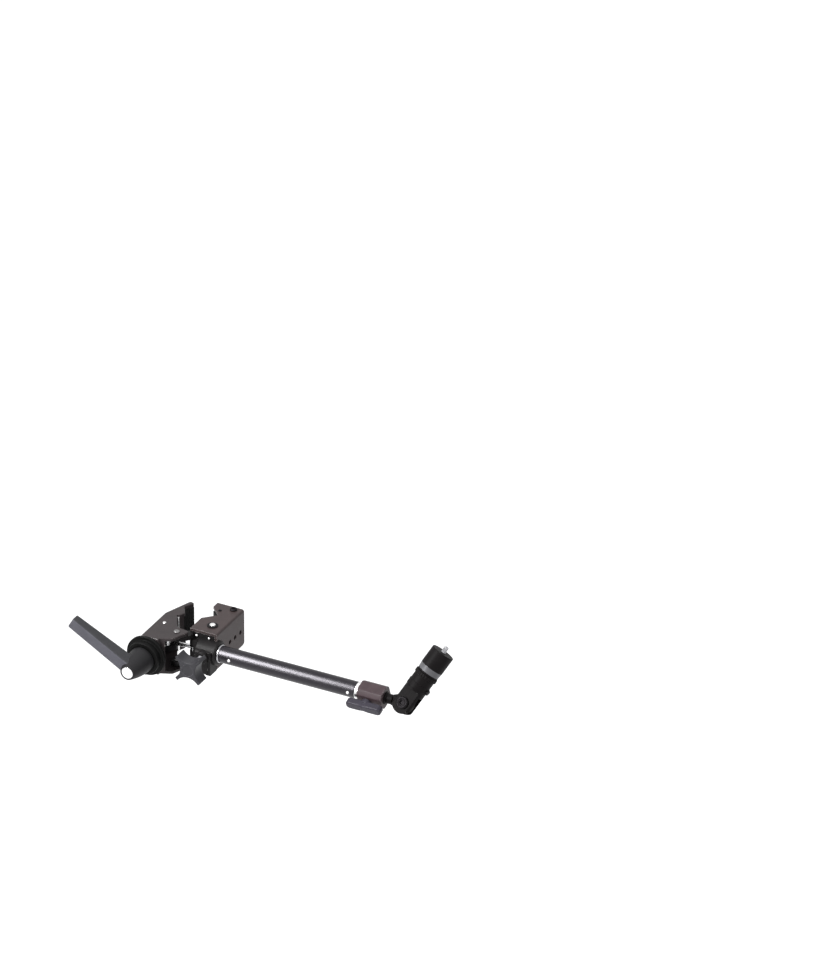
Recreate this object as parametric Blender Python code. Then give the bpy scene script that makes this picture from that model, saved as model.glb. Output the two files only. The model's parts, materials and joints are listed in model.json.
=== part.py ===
"""Extension arm for camera and lighting gear: a lever jaw clamp, a tube arm and a tilting head.

Metres, +Z up. The origin lies on the axis of the pole that the jaws grip, at the jaws' mid height.
+X runs along the arm from the clamp to the head, and -Y points to the lever's end of the clamp.
"""

import math

import bmesh
import bpy
from mathutils import Matrix, Vector

# Fits and roundness
FIT = 0.0003
ROUND = 32
SMALL_ROUND = 20
OVERSHOOT = 0.002

# Both jaws
POLE_RADIUS = 0.0175
JAW_HEIGHT = 0.050
PAD_THICKNESS = 0.0016
PAD_PROUD = 0.0007
PAD_MARGIN = 0.005
FIXED_V = math.radians(45)
MOVING_V = math.radians(60)

# Fixed jaw: a channel of folded plate round a V block
PLATE = 0.0032
BEND_RADIUS = 0.003
CHANNEL_BACK = 0.0473
CHANNEL_MOUTH = 0.0104
CHANNEL_NEAR = -0.0437
CHANNEL_FAR = 0.0262
CORNER_CUT = 0.0065
BLOCK_NEAR = -0.0182
BLOCK_FAR = 0.0250
CHANNEL_PIN = (0.0318, -0.0262)
CHANNEL_PIN_RADIUS = 0.0030
CHANNEL_PIN_HEAD = 0.0037
CHANNEL_PIN_RISE = 0.0013
PIN_WASHER_RADIUS = 0.0068
WASHER_THICKNESS = 0.0009
CHANNEL_BOLT = (0.0361, 0.0195)
CHANNEL_BOLT_RADIUS = 0.0025
CHANNEL_BOLT_HEAD = 0.0046
CHANNEL_BOLT_HEAD_HEIGHT = 0.0028
CHANNEL_BOLT_SOCKET = 0.0020
RIVET = (0.0222, 0.0104)
RIVET_RADIUS = 0.0014
RIVET_HEAD = 0.0022
RIVET_LENGTH = 0.0095
RIVET_HEAD_HEIGHT = 0.0009
PAD_SCREW_HEAD = 0.0028
PAD_SCREW_RADIUS = 0.0014
PAD_SCREW_LENGTH = 0.0048
PAD_SCREW_RECESS = 0.0008
PAD_SCREW_PLACES = ((0.0162, -0.002), (0.0027, -0.002), (-0.0104, -0.002))

# Casting that joins the fixed jaw, the hinge and the arm
ARM_Y = -0.043
BARREL_RADIUS = 0.0155
BARREL_LEFT = 0.0235
BARREL_RIGHT = 0.051
BARREL_CHAMFER = 0.0015
SOCKET_LEFT = 0.0255
SOCKET_RIGHT = 0.0470
SOCKET_FRONT = -0.0610
SOCKET_TOP = 0.0075
SOCKET_BACK = 0.010
SOCKET_FLOOR = 0.002
SOCKET_STEP = 0.0004
NOSE_RADIUS = 0.0064
NOSE_HEIGHT = 0.0264
NOSE_ROOT = 0.004
EYE_ROOM = 0.0009
EYE_SLOT_SPREAD = 0.006
EYE_SLOT_REACH = 0.030
STUD_RADIUS = 0.008
STUD_DEPTH = 0.0245
KNOB_X = 0.0360
KNOB_BOSS_RADIUS = 0.0080
KNOB_BOSS_LENGTH = 0.0220
LUG_RADIUS = 0.0068
LUG_HEIGHT = 0.0065
LUG_SEAT_X = 0.0155
FRONT_SCREW_PLACES = (0.0195, 0.0365)
FRONT_SCREW_CLEAR = 0.0004
FRONT_SCREW_HEAD = 0.0016
FRONT_SCREW_RADIUS = 0.0012
FRONT_SCREW_LENGTH = 0.008
FRONT_SCREW_HEAD_HEIGHT = 0.0012

# Hinge between the jaws, and how far the moving jaw swings from its place on the pole
HINGE = (0.0, -0.059)
HINGE_PIN_RADIUS = 0.0030
HINGE_PIN_LENGTH = 0.0108
HINGE_HEAD_RADIUS = 0.0038
HINGE_HEAD_HEIGHT = 0.0015
SWING = math.radians(18)

# Moving jaw housing
HOUSING_OUTER = -0.0345
HOUSING_FRONT = -0.0864
HOUSING_PLATE = 0.004
HOUSING_WALL = 0.0031
FRONT_WALL = 0.0062
FRONT_CORNER_X = -0.0105
SHOULDER_Y = -0.0248
FRONT_STEP = 0.0036
BEAK_FRONT = (0.0037, -0.0176)
BEAK_SIDE = (0.0146, 0.0085)
BEAK_BACK = (-0.0054, 0.0106)
RELIEF = (-0.0176, 0.0337)
CLAW_WALL = 0.0046
CLAW_TIP_Y = 0.0145
CLAW_TIP_REACH = 0.0035
NEAR_RAMP_REACH = 0.006
POCKET_END = -0.0265
PAD_PIN = (-0.0170, -0.0238)
PAD_PIN_RADIUS = 0.0016
PAD_PIN_INSET = 0.002
HOUSING_RIVET = (-0.0235, -0.0470)
BUSH_RADIUS = 0.0070
RIB_PITCH = 0.0023
RIB_DEPTH = 0.0007

# Wedge drive
SPINDLE_X = -0.026
SPINDLE_RADIUS = 0.005
SPINDLE_END = -0.0565
CLIP_RADIUS = 0.0066
CLIP_THICKNESS = 0.001
WEDGE_TRAVEL = 0.006
WEDGE_LEFT = -0.0303
WEDGE_RIGHT = -0.019
WEDGE_BRIDGE = (-0.0725, -0.0645)
WEDGE_HEIGHT = 0.024
WEDGE_WALL = 0.0025
SLOT_CLEARANCE = 0.0009
ROD_FIXED_PIN = (0.017, -0.044)
ROD_FREE_PIN = (-0.020, -0.0465)
ROD_PIN_RADIUS = 0.003
ROD_RADIUS = 0.0026
ROD_PIN_REACH = 0.0125
ROD_EYE_RADIUS = 0.0056
ROD_EYE_HEIGHT = 0.0064
ROD_CLEARANCE = 0.0006

# Lever
DISC_RADIUS = 0.0262
DISC_THICKNESS = 0.0042
INNER_DISC_RADIUS = 0.0215
INNER_DISC_THICKNESS = 0.0085
CORE_RADIUS = 0.0085
CORE_LENGTH = 0.012
HUB_LENGTH = 0.038
HUB_ROOT_RADIUS = 0.0165
HUB_NOSE_RADIUS = 0.0096
CAP_RADIUS = 0.0077
CAP_THICKNESS = 0.0025
CAP_SCREW_RADIUS = 0.003
SPRING_WIRE = 0.0004
SPRING_TURNS = 4
SPRING_SPACE = 0.0105
LEVER_ANGLE = math.radians(150.2)
LEVER_LENGTH = 0.0930
LEVER_WIDTH = 0.0168
LEVER_TIP_WIDTH = 0.0156
LEVER_DROP = 0.0010
LEVER_ROOT_DEPTH = 0.0195
LEVER_TIP_DEPTH = 0.0122
LEVER_SETBACK = 0.0035
LEVER_EDGE = 0.0022

# Star knob that locks the arm's stud
KNOB_NEAR = -0.0985
KNOB_THICKNESS = 0.0180
KNOB_HUB_RADIUS = 0.0066
KNOB_HUB_RISE = 0.0060
KNOB_RADIUS = 0.0225
KNOB_WAIST = 0.0102
KNOB_LOBE_HALF = math.radians(6)
KNOB_SCREW_RADIUS = 0.004
STUD_PAD_THICKNESS = 0.0018

# Arm
STUD_FLANGE_RADIUS = 0.0114
STUD_FLANGE = 0.0026
STUD_GROOVE = 0.0006
TUBE_RADIUS = 0.0106
TUBE_WALL = 0.0016
TUBE_LENGTH = 0.1866
SPIGOT_LENGTH = 0.026
CROSS_PIN_RADIUS = 0.0021
CROSS_PIN_RISE = 0.0009
NEAR_PIN_INSET = 0.0148
FAR_PIN_INSET = 0.0082
COLLAR_RADIUS = 0.0110
COLLAR_LENGTH = 0.0048
COLLAR_STUB_RADIUS = 0.006
COLLAR_STUB_LENGTH = 0.0066

# Socket block that holds the head
BLOCK_ROLL = math.radians(20)
BLOCK_LENGTH = 0.0338
BLOCK_HALF = 0.0122
BLOCK_CHAMFER = 0.0048
HEAD_BORE_DEPTH = 0.0252
T_KNOB_INSET = 0.006
T_BOSS_RADIUS = 0.0062
T_BOSS_GAP = 0.0012
T_BAR_LENGTH = 0.047
T_BAR_WIDTH = 0.0112
T_BAR_DEPTH = 0.0100
T_BAR_WAIST = 0.0092
T_AXIS_DISTANCE = 0.0208
T_SCREW_RADIUS = 0.003
T_PAD_THICKNESS = 0.0016

# Head
HEAD_ROLL = math.radians(32)
TILT = math.radians(66)
PIVOT_REACH = 0.0268
NECK_RADIUS = 0.0062
NECK_LENGTH = 0.0103
TONGUE_RADIUS = 0.0118
TONGUE_THICKNESS = 0.0078
FRICTION_WASHER_THICKNESS = 0.0007
FORK_RADIUS = 0.0139
FORK_DEPTH = 0.0182
FORK_CROTCH = 0.0152
FLAT_END = 0.0205
FORK_BASE_END = 0.0225
FORK_COLLAR_END = 0.0310
FORK_TOP = 0.0400
COLLAR_EXTRA = 0.0006
WAIST_RADIUS = 0.0138
PIVOT_BOLT_RADIUS = 0.004
PIVOT_HEAD_RADIUS = 0.0077
PIVOT_HEAD_HEIGHT = 0.0030
HEX_SOCKET_RADIUS = 0.0034
HEX_SOCKET_DEPTH = 0.0022
PIVOT_NUT_RADIUS = 0.0075
PIVOT_NUT_HEIGHT = 0.005
LOCK_RING_RADIUS = 0.0151
LOCK_RING_HEIGHT = 0.0048
LOCK_RING_TEETH = 24
LOCK_RING_CUT = 0.0004
SHOULDER_RADIUS = 0.0141
SHOULDER_HEIGHT = 0.0022
CHAMFER_HEIGHT = 0.0072
HEAD_BARREL_RADIUS = 0.0149
HEAD_HEIGHT = 0.078
SWIVEL_RADIUS = 0.005
SWIVEL_DEPTH = 0.0125
SWIVEL_RISE = 0.012
LOCK_SCREW_ALONG = 0.0272
LOCK_SCREW_RADIUS = 0.0022
LOCK_SCREW_HEAD = 0.0036
LOCK_SCREW_HEAD_HEIGHT = 0.0018
TOP_STUD_RADIUS = 0.00318
TOP_STUD_RISE = 0.008
TOP_STUD_DEPTH = 0.009

X = Vector((1, 0, 0))
Y = Vector((0, 1, 0))
Z = Vector((0, 0, 1))
HALF = JAW_HEIGHT / 2
PAD_HEIGHT = JAW_HEIGHT - 2 * PAD_MARGIN
PAD_PIN_LENGTH = JAW_HEIGHT - 2 * PAD_PIN_INSET
FRONT_SCREW_HEIGHT = BARREL_RADIUS + FRONT_SCREW_HEAD + FRONT_SCREW_CLEAR
SOCKET_FOOT = HALF - SOCKET_STEP
WEB_FACE = CHANNEL_BACK - PLATE - FIT
PLATE_FACE = HALF - PLATE - FIT
NOTCH = POLE_RADIUS + PAD_PROUD
PAD_BACK = POLE_RADIUS + PAD_THICKNESS
ARM_START = BARREL_RIGHT + FIT
TUBE_START = ARM_START + STUD_FLANGE
TUBE_END = TUBE_START + TUBE_LENGTH
COLLAR_END = TUBE_END + COLLAR_LENGTH
BLOCK_START = COLLAR_END + FIT
BLOCK_END = BLOCK_START + BLOCK_LENGTH
BORE_START = BLOCK_END - HEAD_BORE_DEPTH
T_KNOB_X = BORE_START + T_KNOB_INSET
NECK_END = BLOCK_END + NECK_LENGTH
PIVOT_X = BLOCK_END + PIVOT_REACH
DISC_FACE = HOUSING_FRONT - FIT
HUB_START = DISC_FACE - DISC_THICKNESS - INNER_DISC_THICKNESS - FIT
HUB_END = HUB_START - HUB_LENGTH


def looks(name, colour, roughness, metallic=0.0):
    """A plain surface finish."""
    material = bpy.data.materials.new(name)
    material.use_nodes = True
    shader = material.node_tree.nodes["Principled BSDF"]
    shader.inputs["Base Color"].default_value = (*colour, 1.0)
    shader.inputs["Roughness"].default_value = roughness
    shader.inputs["Metallic"].default_value = metallic
    return material


def frame_at(origin, local_x, local_y):
    """A frame at origin whose X and Y point along the given directions."""
    x = Vector(local_x).normalized()
    y = Vector(local_y).normalized()
    placed = Matrix((x, y, x.cross(y))).transposed().to_4x4()
    placed.translation = Vector(origin)
    return placed


def standing_at(point):
    """An upright frame over a point of the plan."""
    return Matrix.Translation((point[0], point[1], 0.0))


PLAN = Matrix.Identity(4)
SIDE = frame_at((0, 0, 0), X, Z)
ARM = frame_at((0, ARM_Y, 0), Y, Z)
LEVER = frame_at((SPINDLE_X, 0, 0), X, Z)
T_AXIS = Vector((0, -math.cos(BLOCK_ROLL), -math.sin(BLOCK_ROLL)))
TILT_AXIS = Vector((0, -math.cos(HEAD_ROLL), math.sin(HEAD_ROLL)))
HEAD_UP = TILT_AXIS.cross(X)
POST = X * math.cos(TILT) + HEAD_UP * math.sin(TILT)
PIVOT = Vector((PIVOT_X, ARM_Y, 0))
HEAD = frame_at(PIVOT, X, HEAD_UP)
FORK = frame_at(PIVOT, POST, TILT_AXIS.cross(POST))
POST_TURNED = frame_at(PIVOT, TILT_AXIS.cross(POST), TILT_AXIS)
KNOB = frame_at((KNOB_X, 0, 0), X, Z)
T_KNOB = frame_at((T_KNOB_X, ARM_Y, 0), X, T_AXIS.cross(X))


def body_point(name, point):
    """An empty on a joint's axis, which carries the pieces that move with that joint."""
    empty = bpy.data.objects.new(name, None)
    empty.empty_display_size = 0.01
    empty.location = point
    bpy.context.scene.collection.objects.link(empty)
    return empty


def place(name, bm, frame, body, material):
    """Makes a named piece from bm, drawn in frame, and hangs it on a body's empty."""
    mesh = bpy.data.meshes.new(name)
    bmesh.ops.recalc_face_normals(bm, faces=bm.faces)
    bm.to_mesh(mesh)
    bm.free()
    mesh.shade_smooth()
    mesh.set_sharp_from_angle(angle=math.radians(32))
    mesh.materials.append(material)
    piece = bpy.data.objects.new(name, mesh)
    bpy.context.scene.collection.objects.link(piece)
    piece.parent = body
    piece.matrix_basis = Matrix.Translation(-body.location) @ frame
    return piece


def shape_with(piece, bm, frame, operation):
    """Cuts bm away from the piece, or joins it on."""
    bmesh.ops.recalc_face_normals(bm, faces=bm.faces)
    mesh = bpy.data.meshes.new(f"{piece.name}_{operation.lower()}")
    bm.to_mesh(mesh)
    bm.free()
    helper = bpy.data.objects.new(mesh.name, mesh)
    bpy.context.scene.collection.objects.link(helper)
    helper.matrix_world = frame
    helper.hide_render = True
    helper.display_type = "WIRE"
    step = piece.modifiers.new(operation.title(), "BOOLEAN")
    step.operation = operation
    step.solver = "EXACT"
    step.object = helper
    tidy = piece.modifiers.new("Weld", "WELD")
    tidy.merge_threshold = 0.000002


def cut(piece, bm, frame=PLAN):
    shape_with(piece, bm, frame, "DIFFERENCE")


def join(piece, bm, frame=PLAN):
    shape_with(piece, bm, frame, "UNION")


def soften(piece, width, angle=40):
    """Bevels a piece's sharp edges, ahead of its cuts."""
    step = piece.modifiers.new("Bevel", "BEVEL")
    step.width = width
    step.segments = 1
    step.limit_method = "ANGLE"
    step.angle_limit = math.radians(angle)


def prism(outline, low, high):
    """An outline in the local XY plane, drawn out from low to high."""
    bm = bmesh.new()
    base = bm.faces.new([bm.verts.new((x, y, low)) for x, y in outline])
    drawn = bmesh.ops.extrude_face_region(bm, geom=[base])
    top = [v for v in drawn["geom"] if isinstance(v, bmesh.types.BMVert)]
    bmesh.ops.translate(bm, verts=top, vec=(0, 0, high - low))
    return bm


def turned(profile, sides=ROUND):
    """Turns (radius, height) points about local Z: closed by the axis, or a ring clear of it."""
    bm = bmesh.new()
    rings = []
    for radius, height in profile:
        if radius == 0:
            rings.append([bm.verts.new((0, 0, height))])
            continue
        corners = [turned_point(radius, i, sides) for i in range(sides)]
        rings.append([bm.verts.new((x, y, height)) for x, y in corners])
    hollow = profile[0][0] > 0
    following = rings[1:] + (rings[:1] if hollow else [])
    for lower, upper in zip(rings, following):
        for i in range(sides):
            j = i + 1
            loop = [lower[i % len(lower)], lower[j % len(lower)]]
            loop += [upper[j % len(upper)], upper[i % len(upper)]]
            bm.faces.new(list(dict.fromkeys(loop)))
    return bm


def turned_point(radius, step, sides):
    angle = 2 * math.pi * step / sides
    return (radius * math.cos(angle), radius * math.sin(angle))


def rod(radius, low, high, sides=ROUND):
    return turned([(0, low), (radius, low), (radius, high), (0, high)], sides)


def chamfered_rod(radius, low, high, edge, sides=ROUND):
    """A rod whose two rims are broken by a chamfer."""
    profile = [(0, low), (radius - edge, low), (radius, low + edge)]
    profile += [(radius, high - edge), (radius - edge, high), (0, high)]
    return turned(profile, sides)


def washer(bore, radius, low, high, sides=ROUND):
    return turned([(bore, low), (radius, low), (radius, high), (bore, high)], sides)


def headed_pin(radius, low, high, head, rise, sides=SMALL_ROUND):
    """A pin with a low domed head above high, and a plain end at low."""
    profile = [(0, low), (radius, low), (radius, high), (head, high)]
    profile += [(head, high + rise * 0.35), (head * 0.72, high + rise * 0.85), (0, high + rise)]
    return turned(profile, sides)


def hexagon(radius):
    return [turned_point(radius, i, 6) for i in range(6)]


def box_outline(x_low, x_high, y_low, y_high):
    return [(x_low, y_low), (x_high, y_low), (x_high, y_high), (x_low, y_high)]


def rounded(corners, steps=4):
    """An outline through (x, y, radius) corners, each turned by an arc of that radius."""
    outline = []
    for i, (x, y, radius) in enumerate(corners):
        corner = Vector((x, y))
        before = (Vector(corners[i - 1][:2]) - corner)
        after = (Vector(corners[(i + 1) % len(corners)][:2]) - corner)
        if radius == 0:
            outline.append((x, y))
            continue
        half = before.angle(after) / 2
        setback = min(radius / math.tan(half), 0.48 * before.length, 0.48 * after.length)
        start = corner + before.normalized() * setback
        end = corner + after.normalized() * setback
        reach = setback * math.tan(half)
        inward = (before.normalized() + after.normalized()).normalized()
        centre = corner + inward * math.hypot(setback, reach)
        first = (start - centre).angle_signed(Vector((1, 0)))
        sweep = (end - centre).angle_signed(start - centre)
        for step in range(steps + 1):
            angle = first + sweep * step / steps
            outline.append((centre.x + reach * math.cos(angle), centre.y + reach * math.sin(angle)))
    return outline


def capsule(start, end, radius, steps=8):
    """The outline that a circle sweeps from start to end."""
    along = math.atan2(end[1] - start[1], end[0] - start[0])
    outline = []
    for centre, first in ((end, along - math.pi / 2), (start, along + math.pi / 2)):
        for step in range(steps + 1):
            angle = first + math.pi * step / steps
            outline.append((centre[0] + radius * math.cos(angle), centre[1] + radius * math.sin(angle)))
    return outline


def v_point(half_angle, distance, along, facing, side):
    """A point beside a V notch: a distance from the pole's axis, and so far along the face."""
    x = distance * math.sin(half_angle) + along * math.cos(half_angle)
    y = distance * math.cos(half_angle) - along * math.sin(half_angle)
    return (facing * x, side * y)


def v_notch(half_angle, distance, facing, reach=0.022):
    """The outline of everything between the two faces of a V notch."""
    bottom = (facing * distance / math.sin(half_angle), 0.0)
    return [
        bottom,
        v_point(half_angle, distance, -reach, facing, 1),
        v_point(half_angle, distance, -reach, facing, -1),
    ]


def along_at_x(half_angle, distance, x):
    """How far along a V face, from its middle, the face meets an upright line at x."""
    return (x - distance * math.sin(half_angle)) / math.cos(half_angle)


def v_pad_outline(half_angle, facing, side, mouth_end, ribbed):
    """A rubber strip on one face of a V: plain, or with upright ribs towards the pole."""
    bottom_end = (POLE_RADIUS * math.cos(half_angle) - FIT) / math.sin(half_angle)
    front = [(mouth_end, POLE_RADIUS), (bottom_end, POLE_RADIUS)]
    if ribbed:
        count = max(2, round((bottom_end - mouth_end) / RIB_PITCH))
        pitch = (bottom_end - mouth_end) / count
        front = []
        for i in range(count):
            start = mouth_end + i * pitch
            front += [(start, POLE_RADIUS), (start + 0.55 * pitch, POLE_RADIUS)]
            front.append((start + 0.65 * pitch, POLE_RADIUS + RIB_DEPTH))
            front.append((start + 0.9 * pitch, POLE_RADIUS + RIB_DEPTH))
        front.append((bottom_end, POLE_RADIUS + RIB_DEPTH))
    back = [(bottom_end, PAD_BACK), (mouth_end, PAD_BACK)]
    return [v_point(half_angle, distance, along, facing, side) for along, distance in front + back]


def jaw_channel(body, material):
    """Folded plate: top, back web and bottom, notched for the pole."""
    outer = [(CHANNEL_MOUTH, -HALF, 0), (CHANNEL_BACK, -HALF, BEND_RADIUS)]
    outer += [(CHANNEL_BACK, HALF, BEND_RADIUS), (CHANNEL_MOUTH, HALF, 0)]
    web = CHANNEL_BACK - PLATE
    inner = [(CHANNEL_MOUTH, HALF - PLATE), (web, HALF - PLATE)]
    inner += [(web, PLATE - HALF), (CHANNEL_MOUTH, PLATE - HALF)]
    folded = prism(rounded(outer) + inner, -CHANNEL_FAR, -CHANNEL_NEAR)
    piece = place("jaw_channel", folded, SIDE, body, material)
    tall = HALF + OVERSHOOT
    cut(piece, prism(v_notch(FIXED_V, NOTCH, 1), -tall, tall))
    cut(piece, rod(BARREL_RADIUS + FIT, 0, CHANNEL_BACK + OVERSHOOT), ARM)
    beyond = CHANNEL_FAR + OVERSHOOT
    below = -HALF - OVERSHOOT
    corner = [(beyond, below), (beyond, CORNER_CUT - HALF), (CHANNEL_FAR - CORNER_CUT, below)]
    cut(piece, prism(corner, 0, CHANNEL_BACK + OVERSHOOT), frame_at((0, 0, 0), Y, Z))
    cut(piece, rod(CHANNEL_PIN_RADIUS + FIT, -tall, tall, SMALL_ROUND), standing_at(CHANNEL_PIN))
    cut(piece, rod(CHANNEL_BOLT_RADIUS + FIT, -tall, tall, SMALL_ROUND), standing_at(CHANNEL_BOLT))
    cut(piece, rod(RIVET_RADIUS + FIT, 0, tall, SMALL_ROUND), standing_at(RIVET))
    for y, z in PAD_SCREW_PLACES:
        hole = rod(PAD_SCREW_HEAD + FIT, 0, PLATE + OVERSHOOT, SMALL_ROUND)
        cut(piece, hole, frame_at((CHANNEL_BACK - PLATE - FIT, y, z), Y, Z))


def v_block(body, material):
    """Solid block between the plates that backs the fixed pads."""
    distance = PAD_BACK + FIT
    mouth = CHANNEL_MOUTH + FIT
    along = along_at_x(FIXED_V, distance, mouth)
    outline = [v_point(FIXED_V, distance, distance / math.tan(FIXED_V), 1, 1)]
    outline.append(v_point(FIXED_V, distance, along, 1, 1))
    outline += [(mouth, BLOCK_FAR), (WEB_FACE, BLOCK_FAR), (WEB_FACE, BLOCK_NEAR), (mouth, BLOCK_NEAR)]
    outline.append(v_point(FIXED_V, distance, along, 1, -1))
    piece = place("v_block", prism(outline, -PLATE_FACE, PLATE_FACE), PLAN, body, material)
    cut(piece, rod(CHANNEL_BOLT_RADIUS + FIT, -HALF, HALF, SMALL_ROUND), standing_at(CHANNEL_BOLT))
    cut(piece, rod(RIVET_RADIUS + FIT, HALF - RIVET_LENGTH - FIT, HALF, SMALL_ROUND), standing_at(RIVET))
    for y, z in PAD_SCREW_PLACES:
        hole = rod(PAD_SCREW_RADIUS + FIT, -PAD_SCREW_LENGTH, OVERSHOOT, SMALL_ROUND)
        cut(piece, hole, frame_at((WEB_FACE, y, z), Y, Z))


def fixed_pads(body, material):
    mouth_end = along_at_x(FIXED_V, POLE_RADIUS, CHANNEL_MOUTH + 2 * FIT)
    for name, side in (("fixed_pad_far", 1), ("fixed_pad_near", -1)):
        outline = v_pad_outline(FIXED_V, 1, side, mouth_end, False)
        place(name, prism(outline, -PAD_HEIGHT / 2, PAD_HEIGHT / 2), PLAN, body, material)


def channel_fasteners(body, bright, dark):
    """The channel's pin and washer, its bolt and nut, a rivet and the pad screws."""
    seat = HALF + FIT
    pin_seat = seat + WASHER_THICKNESS + FIT
    pin = headed_pin(CHANNEL_PIN_RADIUS, -HALF, pin_seat, CHANNEL_PIN_HEAD, CHANNEL_PIN_RISE)
    place("channel_pin", pin, standing_at(CHANNEL_PIN), body, bright)
    ring = washer(CHANNEL_PIN_RADIUS + FIT, PIN_WASHER_RADIUS, seat, seat + WASHER_THICKNESS)
    place("channel_pin_washer", ring, standing_at(CHANNEL_PIN), body, dark)
    nut_top = -HALF - FIT
    shank_low = nut_top - CHANNEL_BOLT_HEAD_HEIGHT
    bolt = headed_pin(CHANNEL_BOLT_RADIUS, shank_low, seat, CHANNEL_BOLT_HEAD, CHANNEL_BOLT_HEAD_HEIGHT)
    piece = place("channel_bolt", bolt, standing_at(CHANNEL_BOLT), body, dark)
    bolt_top = seat + CHANNEL_BOLT_HEAD_HEIGHT
    socket = prism(hexagon(CHANNEL_BOLT_RADIUS), bolt_top - CHANNEL_BOLT_SOCKET, bolt_top + OVERSHOOT)
    cut(piece, socket, standing_at(CHANNEL_BOLT))
    nut_shape = prism(hexagon(CHANNEL_BOLT_HEAD), shank_low, nut_top)
    nut = place("channel_nut", nut_shape, standing_at(CHANNEL_BOLT), body, dark)
    cut(nut, rod(CHANNEL_BOLT_RADIUS + FIT, -2 * HALF, 0, SMALL_ROUND), standing_at(CHANNEL_BOLT))
    rivet = headed_pin(RIVET_RADIUS, HALF - RIVET_LENGTH, seat, RIVET_HEAD, RIVET_HEAD_HEIGHT)
    place("channel_rivet", rivet, standing_at(RIVET), body, dark)
    head_top = PLATE - PAD_SCREW_RECESS
    for i, (y, z) in enumerate(PAD_SCREW_PLACES):
        profile = [(0, FIT - PAD_SCREW_LENGTH), (PAD_SCREW_RADIUS, FIT - PAD_SCREW_LENGTH)]
        profile += [(PAD_SCREW_RADIUS, FIT), (PAD_SCREW_HEAD, FIT)]
        profile += [(PAD_SCREW_HEAD, head_top), (0, head_top)]
        at = frame_at((WEB_FACE, y, z), Y, Z)
        piece = place(f"pad_screw_{i + 1}", turned(profile, SMALL_ROUND), at, body, dark)
        cut(piece, prism(hexagon(PAD_SCREW_RADIUS), head_top - 0.001, head_top + OVERSHOOT), at)


def socket_casting(body, material):
    """One casting: tang in the channel, socket for the arm's stud, knob boss and two hinge lugs."""
    tang = box_outline(CHANNEL_MOUTH + FIT, WEB_FACE, CHANNEL_NEAR, BLOCK_NEAR - FIT)
    piece = place("socket_casting", prism(tang, -PLATE_FACE, PLATE_FACE), PLAN, body, material)
    join(piece, chamfered_rod(BARREL_RADIUS, BARREL_LEFT, BARREL_RIGHT, BARREL_CHAMFER), ARM)
    join(piece, prism(socket_outline(), SOCKET_LEFT, WEB_FACE - SOCKET_STEP), ARM)
    front = SOCKET_FRONT + SOCKET_STEP - ARM_Y
    back = CHANNEL_NEAR - FIT - SOCKET_STEP - ARM_Y
    shoulder = box_outline(front, back, SOCKET_STEP - SOCKET_FOOT, SOCKET_TOP - SOCKET_STEP)
    join(piece, prism(shoulder, WEB_FACE - 0.003, SOCKET_RIGHT), ARM)
    boss = chamfered_rod(KNOB_BOSS_RADIUS, -ARM_Y, KNOB_BOSS_LENGTH - ARM_Y, 0.0008, SMALL_ROUND)
    join(piece, boss, KNOB)
    fixed_x, fixed_y = ROD_FIXED_PIN
    nose = capsule((BARREL_LEFT + NOSE_ROOT, fixed_y), ROD_FIXED_PIN, NOSE_RADIUS)
    join(piece, prism(nose, -NOSE_HEIGHT / 2, NOSE_HEIGHT / 2))
    lug_outline = lug()
    lug_top = HALF - HOUSING_PLATE - FIT
    join(piece, prism(lug_outline, lug_top - LUG_HEIGHT, lug_top))
    join(piece, prism(lug_outline, -lug_top, LUG_HEIGHT - lug_top))
    cut(piece, rod(CHANNEL_PIN_RADIUS + FIT, -HALF, HALF, SMALL_ROUND), standing_at(CHANNEL_PIN))
    cut(piece, rod(HINGE_PIN_RADIUS + FIT, -HALF, HALF, SMALL_ROUND), standing_at(HINGE))
    stud_hole = rod(STUD_RADIUS + FIT, BARREL_RIGHT - STUD_DEPTH, BARREL_RIGHT + OVERSHOOT)
    cut(piece, stud_hole, ARM)
    hole_end = 2 * KNOB_BOSS_LENGTH - ARM_Y
    screw_hole = rod(KNOB_SCREW_RADIUS + FIT, STUD_RADIUS / 2 - ARM_Y, hole_end, SMALL_ROUND)
    cut(piece, screw_hole, KNOB)
    gap = ROD_EYE_HEIGHT / 2 + ROD_CLEARANCE
    room = ROD_EYE_RADIUS + EYE_ROOM
    mouth = fixed_x - EYE_SLOT_REACH
    slot = [(fixed_x, fixed_y + room), (mouth, fixed_y + room + EYE_SLOT_SPREAD)]
    slot += [(mouth, fixed_y - room - EYE_SLOT_SPREAD), (fixed_x, fixed_y - room)]
    half_turn = [(fixed_x + room * math.sin(a), fixed_y - room * math.cos(a)) for a in arc_angles(8)]
    cut(piece, prism(slot + half_turn, -gap, gap))
    pin_hole = rod(ROD_PIN_RADIUS + FIT, -HALF, ROD_PIN_REACH + FIT, SMALL_ROUND)
    cut(piece, pin_hole, standing_at(ROD_FIXED_PIN))
    for x in FRONT_SCREW_PLACES:
        hole = rod(FRONT_SCREW_RADIUS + FIT, -OVERSHOOT, FRONT_SCREW_LENGTH + FIT, 12)
        cut(piece, hole, frame_at((x, CHANNEL_NEAR, FRONT_SCREW_HEIGHT), Z, X))


def socket_outline():
    """Section of the socket's lower body about the arm's axis: square below, with a foot."""
    foot_y = CHANNEL_NEAR - FIT
    inner_y = ARM_Y + SOCKET_BACK
    floor = SOCKET_FLOOR - PLATE_FACE
    corners = [(SOCKET_FRONT, SOCKET_TOP, 0.005), (SOCKET_FRONT, -SOCKET_FOOT, 0.0025)]
    corners += [(foot_y, -SOCKET_FOOT, 0), (foot_y, floor, 0), (inner_y, floor, 0), (inner_y, SOCKET_TOP, 0)]
    return rounded([(y - ARM_Y, z, radius) for y, z, radius in corners])


def arc_angles(steps):
    """Angles inside a half turn, without its ends."""
    return [math.pi * (i + 1) / (steps + 1) for i in range(steps)]


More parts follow.
